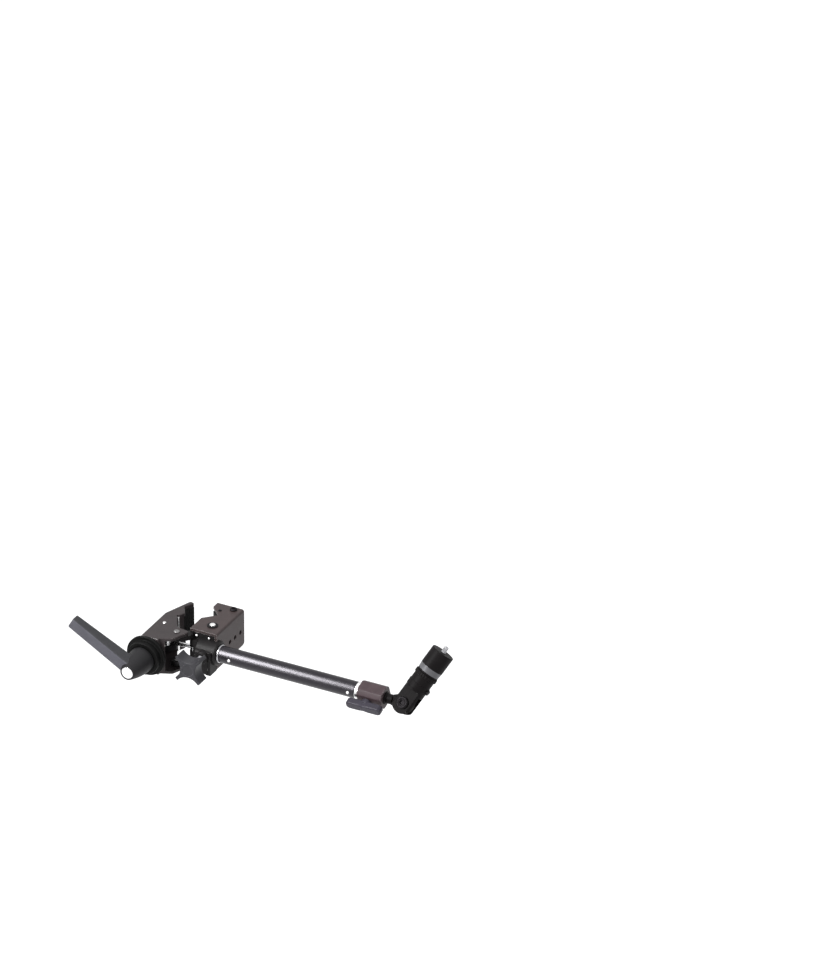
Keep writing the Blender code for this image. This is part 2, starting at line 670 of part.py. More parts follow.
def lug():
    """Plan of a hinge lug: round the hinge pin, and widening to the casting."""
    hinge_x, hinge_y = HINGE
    outline = []
    for step in range(13):
        angle = math.radians(110 + 200 * step / 12)
        outline.append((hinge_x + LUG_RADIUS * math.cos(angle), hinge_y + LUG_RADIUS * math.sin(angle)))
    outline += [(LUG_SEAT_X, ARM_Y - 0.010), (LUG_SEAT_X, CHANNEL_NEAR + 0.003)]
    outline.append((CHANNEL_MOUTH + 0.0012, CHANNEL_NEAR + 0.003))
    return outline


def casting_fasteners(body, bright):
    """Hinge pin, the tie rod's fixed pin and the two screws on the casting's front."""
    seat = HALF + FIT
    low = HALF - HINGE_PIN_LENGTH
    pin = headed_pin(HINGE_PIN_RADIUS, low, seat, HINGE_HEAD_RADIUS, HINGE_HEAD_HEIGHT)
    place("hinge_pin_upper", pin, standing_at(HINGE), body, bright)
    pin = headed_pin(HINGE_PIN_RADIUS, low, seat, HINGE_HEAD_RADIUS, HINGE_HEAD_HEIGHT)
    place("hinge_pin_lower", pin, frame_at((*HINGE, 0), X, -Y), body, bright)
    rod_pin = chamfered_rod(ROD_PIN_RADIUS, -ROD_PIN_REACH, ROD_PIN_REACH, 0.0004, SMALL_ROUND)
    place("tie_rod_fixed_pin", rod_pin, standing_at(ROD_FIXED_PIN), body, bright)
    for name, x in zip(("front_screw_left", "front_screw_right"), FRONT_SCREW_PLACES):
        end = -FRONT_SCREW_LENGTH
        screw = headed_pin(FRONT_SCREW_RADIUS, end, FIT, FRONT_SCREW_HEAD, FRONT_SCREW_HEAD_HEIGHT, 16)
        place(name, screw, frame_at((x, CHANNEL_NEAR, FRONT_SCREW_HEIGHT), X, Z), body, bright)


def from_hinge(offset):
    """A point of the plan, given from the jaw hinge."""
    return (HINGE[0] + offset[0], HINGE[1] + offset[1])


def housing_outline():
    """Plan of the moving jaw: straight outer side, claw round the pole, relief, and beak over the hinge."""
    bottom_x = -NOTCH / math.sin(MOVING_V)
    claw_x = bottom_x - CLAW_WALL
    lean = (claw_x - HOUSING_OUTER) / -SHOULDER_Y
    tip = v_point(MOVING_V, NOTCH, -CLAW_TIP_REACH, -1, 1)
    nose = v_point(MOVING_V, NOTCH, -NEAR_RAMP_REACH, -1, -1)
    return rounded([
        (HOUSING_OUTER, HOUSING_FRONT, 0.0015),
        (FRONT_CORNER_X, HOUSING_FRONT, 0.0015),
        (FRONT_CORNER_X, HOUSING_FRONT + FRONT_STEP, 0.001),
        (*from_hinge(BEAK_FRONT), 0.006),
        (*from_hinge(BEAK_SIDE), 0.0045),
        (*from_hinge(BEAK_BACK), 0.012),
        (*from_hinge(RELIEF), 0.004),
        (*nose, 0.001),
        (bottom_x, 0, 0.001),
        (*tip, 0.0015),
        (claw_x + lean * CLAW_TIP_Y, CLAW_TIP_Y, 0.0035),
        (HOUSING_OUTER, SHOULDER_Y, 0.008),
    ])


def jaw_housing(body, material):
    """Casting of the moving jaw, open towards the hinge between its two plates."""
    piece = place("jaw_housing", prism(housing_outline(), -HALF, HALF), PLAN, body, material)
    soften(piece, 0.0008)
    pocket_top = HALF - HOUSING_PLATE
    pocket = box_outline(HOUSING_OUTER + HOUSING_WALL, 0.030, HOUSING_FRONT + FRONT_WALL, POCKET_END)
    cut(piece, prism(pocket, -pocket_top, pocket_top))
    pad_room = PAD_HEIGHT / 2 + FIT
    cut(piece, prism(v_notch(MOVING_V, PAD_BACK + FIT, -1), -pad_room, pad_room))
    tall = HALF + OVERSHOOT
    cut(piece, rod(HINGE_PIN_RADIUS + FIT, -tall, tall, SMALL_ROUND), standing_at(HINGE))
    cut(piece, rod(PAD_PIN_RADIUS + FIT, -PAD_PIN_LENGTH / 2 - FIT, tall, 16), standing_at(PAD_PIN))
    cut(piece, rod(RIVET_RADIUS + FIT, 0, tall, SMALL_ROUND), standing_at(HOUSING_RIVET))
    wall = rod(BUSH_RADIUS + FIT, -HOUSING_FRONT - FRONT_WALL - OVERSHOOT, -HOUSING_FRONT + OVERSHOOT)
    cut(piece, wall, LEVER)


def housing_pieces(body, rubber, bright, bronze):
    """Ribbed pads, their pin, a rivet and the spindle's bush."""
    for name, side, reach in (("jaw_pad_far", 1, CLAW_TIP_REACH), ("jaw_pad_near", -1, NEAR_RAMP_REACH)):
        outline = v_pad_outline(MOVING_V, -1, side, 0.0008 - reach, True)
        place(name, prism(outline, -PAD_HEIGHT / 2, PAD_HEIGHT / 2), PLAN, body, rubber)
    pin = chamfered_rod(PAD_PIN_RADIUS, -PAD_PIN_LENGTH / 2, PAD_PIN_LENGTH / 2, 0.0003, 16)
    place("pad_pin", pin, standing_at(PAD_PIN), body, bright)
    seat = HALF + FIT
    rivet = headed_pin(RIVET_RADIUS, HALF - HOUSING_PLATE, seat, RIVET_HEAD, RIVET_HEAD_HEIGHT)
    place("housing_rivet", rivet, standing_at(HOUSING_RIVET), body, bright)
    bush = washer(SPINDLE_RADIUS + FIT, BUSH_RADIUS, -HOUSING_FRONT - FRONT_WALL, -HOUSING_FRONT)
    place("spindle_bush", bush, LEVER, body, bronze)


def spindle_pieces(body, steel, dark, bright):
    """Spindle with its ratchet core and cap screw, and the disc and clip that keep it in the bush."""
    disc_back = -DISC_FACE
    core_start = -HUB_START + FIT
    screw_start = core_start + CORE_LENGTH
    cap_back = -HUB_END - CAP_THICKNESS
    inner_end = -SPINDLE_END
    profile = [(0, inner_end), (SPINDLE_RADIUS - 0.0006, inner_end), (SPINDLE_RADIUS, inner_end + 0.0006)]
    profile += [(SPINDLE_RADIUS, core_start), (CORE_RADIUS, core_start), (CORE_RADIUS, screw_start)]
    profile += [(CAP_SCREW_RADIUS, screw_start), (CAP_SCREW_RADIUS, cap_back - FIT), (0, cap_back - FIT)]
    place("spindle", turned(profile), LEVER, body, steel)
    step = disc_back + DISC_THICKNESS
    front = step + INNER_DISC_THICKNESS
    edge = 0.0008
    disc = [(SPINDLE_RADIUS + FIT, disc_back), (DISC_RADIUS - edge, disc_back)]
    disc.append((DISC_RADIUS, disc_back + edge))
    disc += [(DISC_RADIUS, step - edge), (DISC_RADIUS - edge, step), (INNER_DISC_RADIUS, step)]
    disc += [(INNER_DISC_RADIUS, front - edge), (INNER_DISC_RADIUS - edge, front)]
    disc.append((SPINDLE_RADIUS + FIT, front))
    place("thrust_disc", turned(disc, 40), LEVER, body, dark)
    clip_far = -HOUSING_FRONT - FRONT_WALL - FIT
    clip = washer(SPINDLE_RADIUS + FIT, CLIP_RADIUS, clip_far - CLIP_THICKNESS, clip_far, SMALL_ROUND)
    place("spindle_clip", clip, LEVER, body, steel)
    cap = [(0, cap_back), (CAP_RADIUS, cap_back), (CAP_RADIUS, -HUB_END - 0.0006)]
    cap += [(CAP_RADIUS - 0.0006, -HUB_END), (0, -HUB_END)]
    place("lever_cap", turned(cap), LEVER, body, bright)


def lever_handle(body, material):
    """Domed hub with the bar that a hand pulls: a pocket for the core, and a chamber for cap and spring."""
    back = -HUB_START
    tip = -HUB_END
    span = tip - back
    swell = HUB_ROOT_RADIUS - HUB_NOSE_RADIUS
    profile = [(0, back), (HUB_ROOT_RADIUS - 0.0008, back), (HUB_ROOT_RADIUS, back + 0.0008)]
    for step in range(1, 9):
        share = step / 8
        profile.append((HUB_ROOT_RADIUS - swell * share ** 1.9, back + 0.001 + (span - 0.0016) * share))
    profile += [(HUB_NOSE_RADIUS - 0.0006, tip), (0, tip)]
    piece = place("lever_handle", turned(profile), LEVER, body, material)
    front = tip - LEVER_SETBACK
    reach = Vector((math.cos(LEVER_ANGLE), math.sin(LEVER_ANGLE), 0))
    join(piece, lever_bar(front), LEVER @ frame_at((0, 0, 0), reach, Z.cross(reach)))
    cut(piece, rod(CORE_RADIUS + FIT, back - OVERSHOOT, back + CORE_LENGTH + 2 * FIT), LEVER)
    cut(piece, rod(CAP_SCREW_RADIUS + FIT, back, tip + OVERSHOOT, SMALL_ROUND), LEVER)
    cut(piece, rod(CAP_RADIUS + FIT, tip - CAP_THICKNESS - SPRING_SPACE, tip + OVERSHOOT), LEVER)


def lever_bar(front):
    """The bar, drawn along local X from the spindle's axis, with its outer face at local Z front."""
    bm = bmesh.new()
    rings = []
    sections = [(0.0, LEVER_WIDTH, LEVER_ROOT_DEPTH)]
    sections.append((LEVER_LENGTH - LEVER_EDGE, LEVER_TIP_WIDTH, LEVER_TIP_DEPTH))
    sections.append((LEVER_LENGTH, LEVER_TIP_WIDTH - LEVER_EDGE, LEVER_TIP_DEPTH - LEVER_EDGE))
    for along, width, depth in sections:
        inset = (LEVER_TIP_DEPTH - depth) / 2 if along == LEVER_LENGTH else 0
        low = -width / 2 - LEVER_DROP
        corners = box_outline(low, low + width, front - inset - depth, front - inset)
        outline = rounded([(x, y, LEVER_EDGE) for x, y in corners], 2)
        rings.append([bm.verts.new((along, across, height)) for across, height in outline])
    for lower, upper in zip(rings, rings[1:]):
        for i in range(len(lower)):
            j = (i + 1) % len(lower)
            bm.faces.new((lower[i], lower[j], upper[j], upper[i]))
    bm.faces.new(rings[0])
    bm.faces.new(rings[-1])
    return bm


def ratchet_spring(body, material):
    """Coil spring that holds the handle down on the core: it stands on the hub and bears on the cap."""
    start = -HUB_END - CAP_THICKNESS - SPRING_SPACE + FIT + SPRING_WIRE
    space = SPRING_SPACE - 2 * FIT - 2 * SPRING_WIRE
    radius = (CAP_SCREW_RADIUS + CAP_RADIUS) / 2
    points_per_turn = 10
    curve = bpy.data.curves.new("ratchet_spring", "CURVE")
    curve.dimensions = "3D"
    curve.bevel_depth = SPRING_WIRE
    curve.bevel_resolution = 1
    curve.use_fill_caps = True
    spline = curve.splines.new("POLY")
    count = SPRING_TURNS * points_per_turn
    spline.points.add(count)
    for i in range(count + 1):
        angle = 2 * math.pi * i / points_per_turn
        height = start + space * i / count
        spline.points[i].co = (radius * math.cos(angle), radius * math.sin(angle), height, 1)
    print(f"least gap between the spring's turns: {space / SPRING_TURNS - 2 * SPRING_WIRE:.4f} m")
    curve.materials.append(material)
    piece = bpy.data.objects.new("ratchet_spring", curve)
    bpy.context.scene.collection.objects.link(piece)
    piece.parent = body
    piece.matrix_basis = Matrix.Translation(-body.location) @ LEVER


def swung(point, angle):
    """A point turned about the jaw hinge."""
    x = point[0] - HINGE[0]
    y = point[1] - HINGE[1]
    turned_x = x * math.cos(angle) - y * math.sin(angle)
    turned_y = x * math.sin(angle) + y * math.cos(angle)
    return (turned_x + HINGE[0], turned_y + HINGE[1])


def free_pin_x(angle):
    """Where the rod's free pin stands in the moving jaw, across it, when the jaw has swung by angle."""
    rod_length = math.dist(ROD_FIXED_PIN, ROD_FREE_PIN)
    fixed_x, fixed_y = swung(ROD_FIXED_PIN, -angle)
    rise = ROD_FREE_PIN[1] - fixed_y
    return fixed_x - math.sqrt(rod_length**2 - rise**2)


def wedge_slot():
    """The two ends of the wedge's sloping slot: where the free pin lies in it, jaws closed and jaws open."""
    closed = (free_pin_x(-SWING), ROD_FREE_PIN[1] - WEDGE_TRAVEL)
    opened = (free_pin_x(SWING), ROD_FREE_PIN[1] + WEDGE_TRAVEL)
    return closed, opened


def wedge(body, material):
    """Nut on the spindle, with two cheeks whose sloping slots carry the rod's free pin sideways."""
    closed, opened = wedge_slot()
    slot_radius = ROD_PIN_RADIUS + SLOT_CLEARANCE
    edge = slot_radius + WEDGE_WALL
    along = math.atan2(opened[1] - closed[1], opened[0] - closed[0])
    right = (math.sin(along), -math.cos(along))
    left_run = (WEDGE_LEFT - opened[0] + edge * right[0]) / math.cos(along)
    outline = [(WEDGE_LEFT, WEDGE_BRIDGE[0]), (WEDGE_RIGHT, WEDGE_BRIDGE[0])]
    outline.append((closed[0] + edge * right[0], closed[1] + edge * right[1]))
    for step in range(9):
        angle = along - math.pi / 2 + math.pi * step / 8
        outline.append((opened[0] + edge * math.cos(angle), opened[1] + edge * math.sin(angle)))
    outline.append((WEDGE_LEFT, opened[1] - edge * right[1] + left_run * math.sin(along)))
    half = WEDGE_HEIGHT / 2
    piece = place("wedge", prism(outline, -half, half), PLAN, body, material)
    cut(piece, prism(capsule(closed, opened, slot_radius), -HALF, HALF))
    gap = ROD_EYE_HEIGHT / 2 + ROD_CLEARANCE
    cut(piece, prism(box_outline(HOUSING_OUTER, 0.010, WEDGE_BRIDGE[1], 0), -gap, gap))
    bore = rod(SPINDLE_RADIUS + FIT, 0, -WEDGE_BRIDGE[0] + OVERSHOOT)
    cut(piece, bore, LEVER)


def tie_rod(body, steel, bright):
    """Round rod with an eye at each end, and the free pin that it carries into the wedge's slots."""
    start = Vector((*ROD_FIXED_PIN, 0))
    end = Vector((*ROD_FREE_PIN, 0))
    half_eye = ROD_EYE_HEIGHT / 2
    eye = rod(ROD_EYE_RADIUS, -half_eye, half_eye, 24)
    piece = place("tie_rod", eye, standing_at(ROD_FIXED_PIN), body, steel)
    join(piece, rod(ROD_EYE_RADIUS, -half_eye, half_eye, 24), standing_at(ROD_FREE_PIN))
    along = end - start
    shank = rod(ROD_RADIUS, 0.001, along.length - 0.001, SMALL_ROUND)
    join(piece, shank, frame_at(start, along.cross(Z).normalized().cross(along) * -1, along.cross(Z) * -1))
    cut(piece, rod(ROD_PIN_RADIUS + FIT, -HALF, HALF, SMALL_ROUND), standing_at(ROD_FIXED_PIN))
    cut(piece, rod(ROD_PIN_RADIUS + FIT, -HALF, HALF, SMALL_ROUND), standing_at(ROD_FREE_PIN))
    reach = WEDGE_HEIGHT / 2 + 0.0006
    pin = chamfered_rod(ROD_PIN_RADIUS, -reach, reach, 0.0004, SMALL_ROUND)
    place("tie_rod_free_pin", pin, standing_at(ROD_FREE_PIN), body, bright)


def star_outline():
    """Four lobes between four scooped arcs."""
    corner_x = KNOB_RADIUS * math.cos(math.pi / 4 - KNOB_LOBE_HALF)
    corner_y = KNOB_RADIUS * math.sin(math.pi / 4 - KNOB_LOBE_HALF)
    scoop = ((corner_x - KNOB_WAIST) ** 2 + corner_y**2) / (2 * (corner_x - KNOB_WAIST))
    half = math.asin(corner_y / scoop)
    outline = []
    for quarter in range(4):
        for step in range(9):
            angle = math.pi + half - 2 * half * step / 8
            x = KNOB_WAIST + scoop + scoop * math.cos(angle)
            y = scoop * math.sin(angle)
            across = math.cos(quarter * math.pi / 2)
            up = math.sin(quarter * math.pi / 2)
            outline.append((x * across - y * up, x * up + y * across))
    return outline


def stud_lock(pad_body, knob_body, dark, steel, brass):
    """Pressure pad on the arm's stud, and the star knob with its screw."""
    stud_face = STUD_RADIUS + FIT - ARM_Y
    pad_top = stud_face + STUD_PAD_THICKNESS
    place("stud_pad", rod(KNOB_SCREW_RADIUS - 0.0003, stud_face, pad_top, 16), KNOB, pad_body, brass)
    near = -KNOB_NEAR
    screw = chamfered_rod(KNOB_SCREW_RADIUS, pad_top + FIT, near - 0.0004, 0.0006, SMALL_ROUND)
    place("star_knob_screw", screw, KNOB, knob_body, steel)
    knob = place("star_knob", prism(star_outline(), near - KNOB_THICKNESS, near), KNOB, knob_body, dark)
    soften(knob, 0.0012, 50)
    knob_back = near - KNOB_THICKNESS
    join(knob, rod(KNOB_HUB_RADIUS, knob_back - KNOB_HUB_RISE, knob_back + OVERSHOOT, 24), KNOB)
    cut(knob, rod(KNOB_SCREW_RADIUS + FIT, 0, 2 * near, SMALL_ROUND), KNOB)


def clamp_stud(body, material):
    """Stud that plugs into the casting, with a flange and a spigot for the tube."""
    start = BARREL_RIGHT - STUD_DEPTH + FIT
    spigot = TUBE_RADIUS - TUBE_WALL - FIT
    groove = KNOB_X
    flange_edge = 0.0005
    profile = [(0, start), (STUD_RADIUS - 0.001, start), (STUD_RADIUS, start + 0.001)]
    profile += [(STUD_RADIUS, groove - 0.0065), (STUD_RADIUS - STUD_GROOVE, groove - 0.006)]
    profile += [(STUD_RADIUS - STUD_GROOVE, groove - 0.0055), (STUD_RADIUS, groove - 0.005)]
    profile += [(STUD_RADIUS, ARM_START), (STUD_FLANGE_RADIUS - flange_edge, ARM_START)]
    flange_end = TUBE_START - FIT
    profile.append((STUD_FLANGE_RADIUS, ARM_START + flange_edge))
    profile.append((STUD_FLANGE_RADIUS, flange_end - flange_edge))
    profile += [(STUD_FLANGE_RADIUS - flange_edge, flange_end), (spigot, flange_end)]
    profile.append((spigot, TUBE_START + SPIGOT_LENGTH - 0.001))
    profile += [(spigot - 0.001, TUBE_START + SPIGOT_LENGTH), (0, TUBE_START + SPIGOT_LENGTH)]
    piece = place("clamp_stud", turned(profile), ARM, body, material)
    cut(piece, cross_hole(), cross_frame(TUBE_START + NEAR_PIN_INSET))


def cross_hole():
    return rod(CROSS_PIN_RADIUS + FIT, -2 * TUBE_RADIUS, 2 * TUBE_RADIUS, 16)


def cross_frame(x):
    """A frame across the tube, with its Z towards -Y."""
    return frame_at((x, ARM_Y, 0), X, Z)


def arm_tube(body, material):
    bore = TUBE_RADIUS - TUBE_WALL
    edge = 0.0003
    profile = [(bore, TUBE_START), (TUBE_RADIUS - edge, TUBE_START), (TUBE_RADIUS, TUBE_START + edge)]
    profile += [(TUBE_RADIUS, TUBE_END - edge), (TUBE_RADIUS - edge, TUBE_END), (bore, TUBE_END)]
    piece = place("arm_tube", turned(profile, 40), ARM, body, material)
    cut(piece, cross_hole(), cross_frame(TUBE_START + NEAR_PIN_INSET))
    cut(piece, cross_hole(), cross_frame(TUBE_END - FAR_PIN_INSET))


def cross_pins(body, material):
    """Round-headed pins through the tube and its end fittings."""
    places = (("cross_pin_near", TUBE_START + NEAR_PIN_INSET), ("cross_pin_far", TUBE_END - FAR_PIN_INSET))
    reach = TUBE_RADIUS + CROSS_PIN_RISE
    profile = [(0, -reach), (CROSS_PIN_RADIUS * 0.6, 0.0003 - reach)]
    profile.append((CROSS_PIN_RADIUS, CROSS_PIN_RISE - reach))
    profile += [(radius, -height) for radius, height in reversed(profile)]
    for name, x in places:
        place(name, turned(profile, 16), cross_frame(x), body, material)


def end_collar(body, material):
    """Bright collar between tube and socket block, with a spigot one way and a stub the other."""
    spigot = TUBE_RADIUS - TUBE_WALL - FIT
    start = TUBE_END - SPIGOT_LENGTH
    edge = 0.0005
    profile = [(0, start), (spigot - 0.001, start), (spigot, start + 0.001), (spigot, TUBE_END + FIT)]
    profile += [(COLLAR_RADIUS - edge, TUBE_END + FIT), (COLLAR_RADIUS, TUBE_END + FIT + edge)]
    profile += [(COLLAR_RADIUS, COLLAR_END - edge), (COLLAR_RADIUS - edge, COLLAR_END)]
    profile += [(COLLAR_STUB_RADIUS, COLLAR_END), (COLLAR_STUB_RADIUS, COLLAR_END + COLLAR_STUB_LENGTH)]
    profile.append((0, COLLAR_END + COLLAR_STUB_LENGTH))
    piece = place("end_collar", turned(profile), ARM, body, material)
    cut(piece, cross_hole(), cross_frame(TUBE_END - FAR_PIN_INSET))


def block_outline():
    half = BLOCK_HALF
    inner = half - BLOCK_CHAMFER
    outline = [(-inner, -half), (inner, -half), (half, -inner), (half, inner)]
    return outline + [(inner, half), (-inner, half), (-half, inner), (-half, -inner)]


def socket_block(body, material):
    """Eight-sided block, rolled a little on the arm, that the head plugs into."""
    solid = prism(block_outline(), BLOCK_START, BLOCK_END)
    piece = place("socket_block", solid, rolled_arm(BLOCK_ROLL), body, material)
    soften(piece, 0.0006)
    cut(piece, rod(STUD_RADIUS + FIT, BORE_START, BLOCK_END + OVERSHOOT), ARM)
    cut(piece, rod(COLLAR_STUB_RADIUS + FIT, 0, COLLAR_END + COLLAR_STUB_LENGTH + FIT), ARM)
    cut(piece, rod(T_SCREW_RADIUS + FIT, 0, 2 * BLOCK_HALF, SMALL_ROUND), T_KNOB)


def rolled_arm(roll):
    """The arm's frame, rolled about the arm."""
    return ARM @ Matrix.Rotation(roll, 4, "Z")


def t_bar_outline():
    """Two rounded wings either side of a slimmer middle."""
    end = T_BAR_LENGTH / 2
    wide = T_BAR_WIDTH / 2
    waist = T_BAR_WAIST / 2
    upper = [(end, wide * 0.55, 0.002), (end - 0.0035, wide, 0.004)]
    upper += [(0.006, wide, 0.003), (0, waist, 0.003)]
    corners = upper + [(-x, y, radius) for x, y, radius in reversed(upper[:3])]
    corners += [(-x, -y, radius) for x, y, radius in corners]
    return rounded(corners, 3)


def head_lock(pad_body, knob_body, dark, steel, brass):
    """Pressure pad on the head's spigot, and the T-shaped knob with its screw."""
    spigot_face = STUD_RADIUS + FIT
    pad_top = spigot_face + T_PAD_THICKNESS
    place("head_pad", rod(T_SCREW_RADIUS - 0.0003, spigot_face, pad_top, 16), T_KNOB, pad_body, brass)
    bar_low = T_AXIS_DISTANCE - T_BAR_DEPTH / 2
    bar_high = T_AXIS_DISTANCE + T_BAR_DEPTH / 2
    screw = chamfered_rod(T_SCREW_RADIUS, pad_top + FIT, bar_high - 0.003, 0.0004, SMALL_ROUND)
    place("t_knob_screw", screw, T_KNOB, knob_body, steel)
    knob = place("t_knob", prism(t_bar_outline(), bar_low, bar_high), T_KNOB, knob_body, dark)
    soften(knob, 0.0016, 50)
    join(knob, rod(T_BOSS_RADIUS, BLOCK_HALF + T_BOSS_GAP, bar_low + 0.002, 24), T_KNOB)
    cut(knob, rod(T_SCREW_RADIUS + FIT, 0, bar_high - 0.003 + FIT, SMALL_ROUND), T_KNOB)


def head_spigot(body, material):
    """Spigot in the socket block, neck, and flat tongue round the tilt pivot."""
    bore_end = BORE_START + FIT
    neck_start = BLOCK_END + 0.0006
    profile = [(0, bore_end), (STUD_RADIUS - 0.001, bore_end), (STUD_RADIUS, bore_end + 0.001)]
    profile += [(STUD_RADIUS, neck_start), (NECK_RADIUS, neck_start + 0.0012)]
    profile += [(NECK_RADIUS, NECK_END), (0, NECK_END)]
    piece = place("head_spigot", turned(profile), ARM, body, material)
    half = TONGUE_THICKNESS / 2
    join(piece, prism(tongue_outline(NECK_END - PIVOT_X - 0.0006), -half, half), HEAD)
    cut(piece, rod(PIVOT_BOLT_RADIUS + FIT, -2 * half, 2 * half, SMALL_ROUND), HEAD)


def tongue_outline(root):
    """Round about the pivot, and narrowing to the neck at local X root."""
    outline = []
    for step in range(17):
        angle = math.radians(-110 + 220 * step / 16)
        outline.append((TONGUE_RADIUS * math.cos(angle), TONGUE_RADIUS * math.sin(angle)))
    outline += [(root, NECK_RADIUS * 0.98), (root, -NECK_RADIUS * 0.98)]
    return outline


def friction_washers(body, material):
    low = TONGUE_THICKNESS / 2 + FIT
    high = low + FRICTION_WASHER_THICKNESS
    bore = PIVOT_BOLT_RADIUS + FIT
    place("friction_washer_front", washer(bore, TONGUE_RADIUS - 0.0008, low, high), HEAD, body, material)
    place("friction_washer_back", washer(bore, TONGUE_RADIUS - 0.0008, -high, -low), HEAD, body, material)


def fork_post(body, material):
    """Round post: slotted, rounded below, with two flats for the pivot bolt and a slimmer waist."""
    side = FORK_RADIUS
    edge = 0.0006
    collar = side + COLLAR_EXTRA
    profile = [(0, -2 * side), (side, -2 * side), (side, FORK_BASE_END), (collar, FORK_BASE_END + edge)]
    profile += [(collar, FORK_COLLAR_END - edge), (collar - edge, FORK_COLLAR_END)]
    profile += [(WAIST_RADIUS, FORK_COLLAR_END + edge), (WAIST_RADIUS, FORK_TOP), (0, FORK_TOP)]
    piece = place("fork_post", turned(profile, 40), POST_TURNED, body, material)
    outline = [(FORK_TOP + OVERSHOOT, -2 * side), (0, -2 * side), (0, -side)]
    outline += [(-side * math.sin(a), -side * math.cos(a)) for a in arc_angles(18)]
    outline += [(0, side), (0, 2 * side), (FORK_TOP + OVERSHOOT, 2 * side)]
    shape_with(piece, prism(outline, -2 * side, 2 * side), FORK, "INTERSECT")
    flat = FORK_DEPTH / 2
    beside = box_outline(-2 * side, FLAT_END, -2 * side, 2 * side)
    cut(piece, prism(beside, flat, 2 * side), FORK)
    cut(piece, prism(beside, -2 * side, -flat), FORK)
    gap = TONGUE_THICKNESS / 2 + 2 * FIT + FRICTION_WASHER_THICKNESS
    cut(piece, prism(box_outline(-2 * side, FORK_CROTCH, -2 * side, 2 * side), -gap, gap), FORK)
    cut(piece, rod(PIVOT_BOLT_RADIUS + FIT, -2 * side, 2 * side, SMALL_ROUND), FORK)
    bore = rod(SWIVEL_RADIUS + FIT, FORK_TOP - SWIVEL_DEPTH - FIT, FORK_TOP + OVERSHOOT)
    cut(piece, bore, POST_TURNED)
    cut(piece, rod(LOCK_SCREW_RADIUS + FIT, SWIVEL_RADIUS, 2 * side, 16), lock_screw_frame())


def lock_screw_frame():
    """Across the post at the collar, with Z out of its right side."""
    across = TILT_AXIS.cross(POST) * -1
    return frame_at(PIVOT + POST * LOCK_SCREW_ALONG, POST, across.cross(POST))


def pivot_pieces(body, dark, steel):
    """Pivot bolt with its socket head and nut, and the small screw that locks the barrel's turn."""
    seat = FORK_DEPTH / 2 + FIT
    nut_low = -seat - PIVOT_NUT_HEIGHT
    dish = PIVOT_HEAD_HEIGHT
    profile = [(0, nut_low), (PIVOT_BOLT_RADIUS, nut_low), (PIVOT_BOLT_RADIUS, seat)]
    profile += [(PIVOT_HEAD_RADIUS - 0.0004, seat), (PIVOT_HEAD_RADIUS, seat + 0.0005)]
    profile.append((PIVOT_HEAD_RADIUS, seat + dish - 0.0012))
    profile += [(PIVOT_HEAD_RADIUS - 0.0012, seat + dish), (PIVOT_HEAD_RADIUS - 0.0028, seat + dish)]
    profile += [(PIVOT_HEAD_RADIUS - 0.0036, seat + dish - 0.0008), (0, seat + dish - 0.0008)]
    bolt = place("pivot_bolt", turned(profile), FORK, body, dark)
    socket_low = seat + dish - 0.0008 - HEX_SOCKET_DEPTH
    cut(bolt, prism(hexagon(HEX_SOCKET_RADIUS), socket_low, seat + dish + OVERSHOOT), FORK)
    nut = place("pivot_nut", prism(hexagon(PIVOT_NUT_RADIUS), nut_low + 0.0008, -seat), FORK, body, steel)
    cut(nut, rod(PIVOT_BOLT_RADIUS + FIT, nut_low - OVERSHOOT, 0, SMALL_ROUND), FORK)
    rim = FORK_RADIUS + COLLAR_EXTRA
    screw_low = SWIVEL_RADIUS + 0.0015
    head_low = rim + FIT
    head_top = head_low + LOCK_SCREW_HEAD_HEIGHT
    profile = [(0, screw_low), (LOCK_SCREW_RADIUS, screw_low), (LOCK_SCREW_RADIUS, head_low)]
    profile += [(LOCK_SCREW_HEAD, head_low), (LOCK_SCREW_HEAD, head_top - 0.0006)]
    profile += [(LOCK_SCREW_HEAD - 0.0006, head_top), (0, head_top)]
    place("pan_lock_screw", turned(profile, 16), lock_screw_frame(), body, dark)


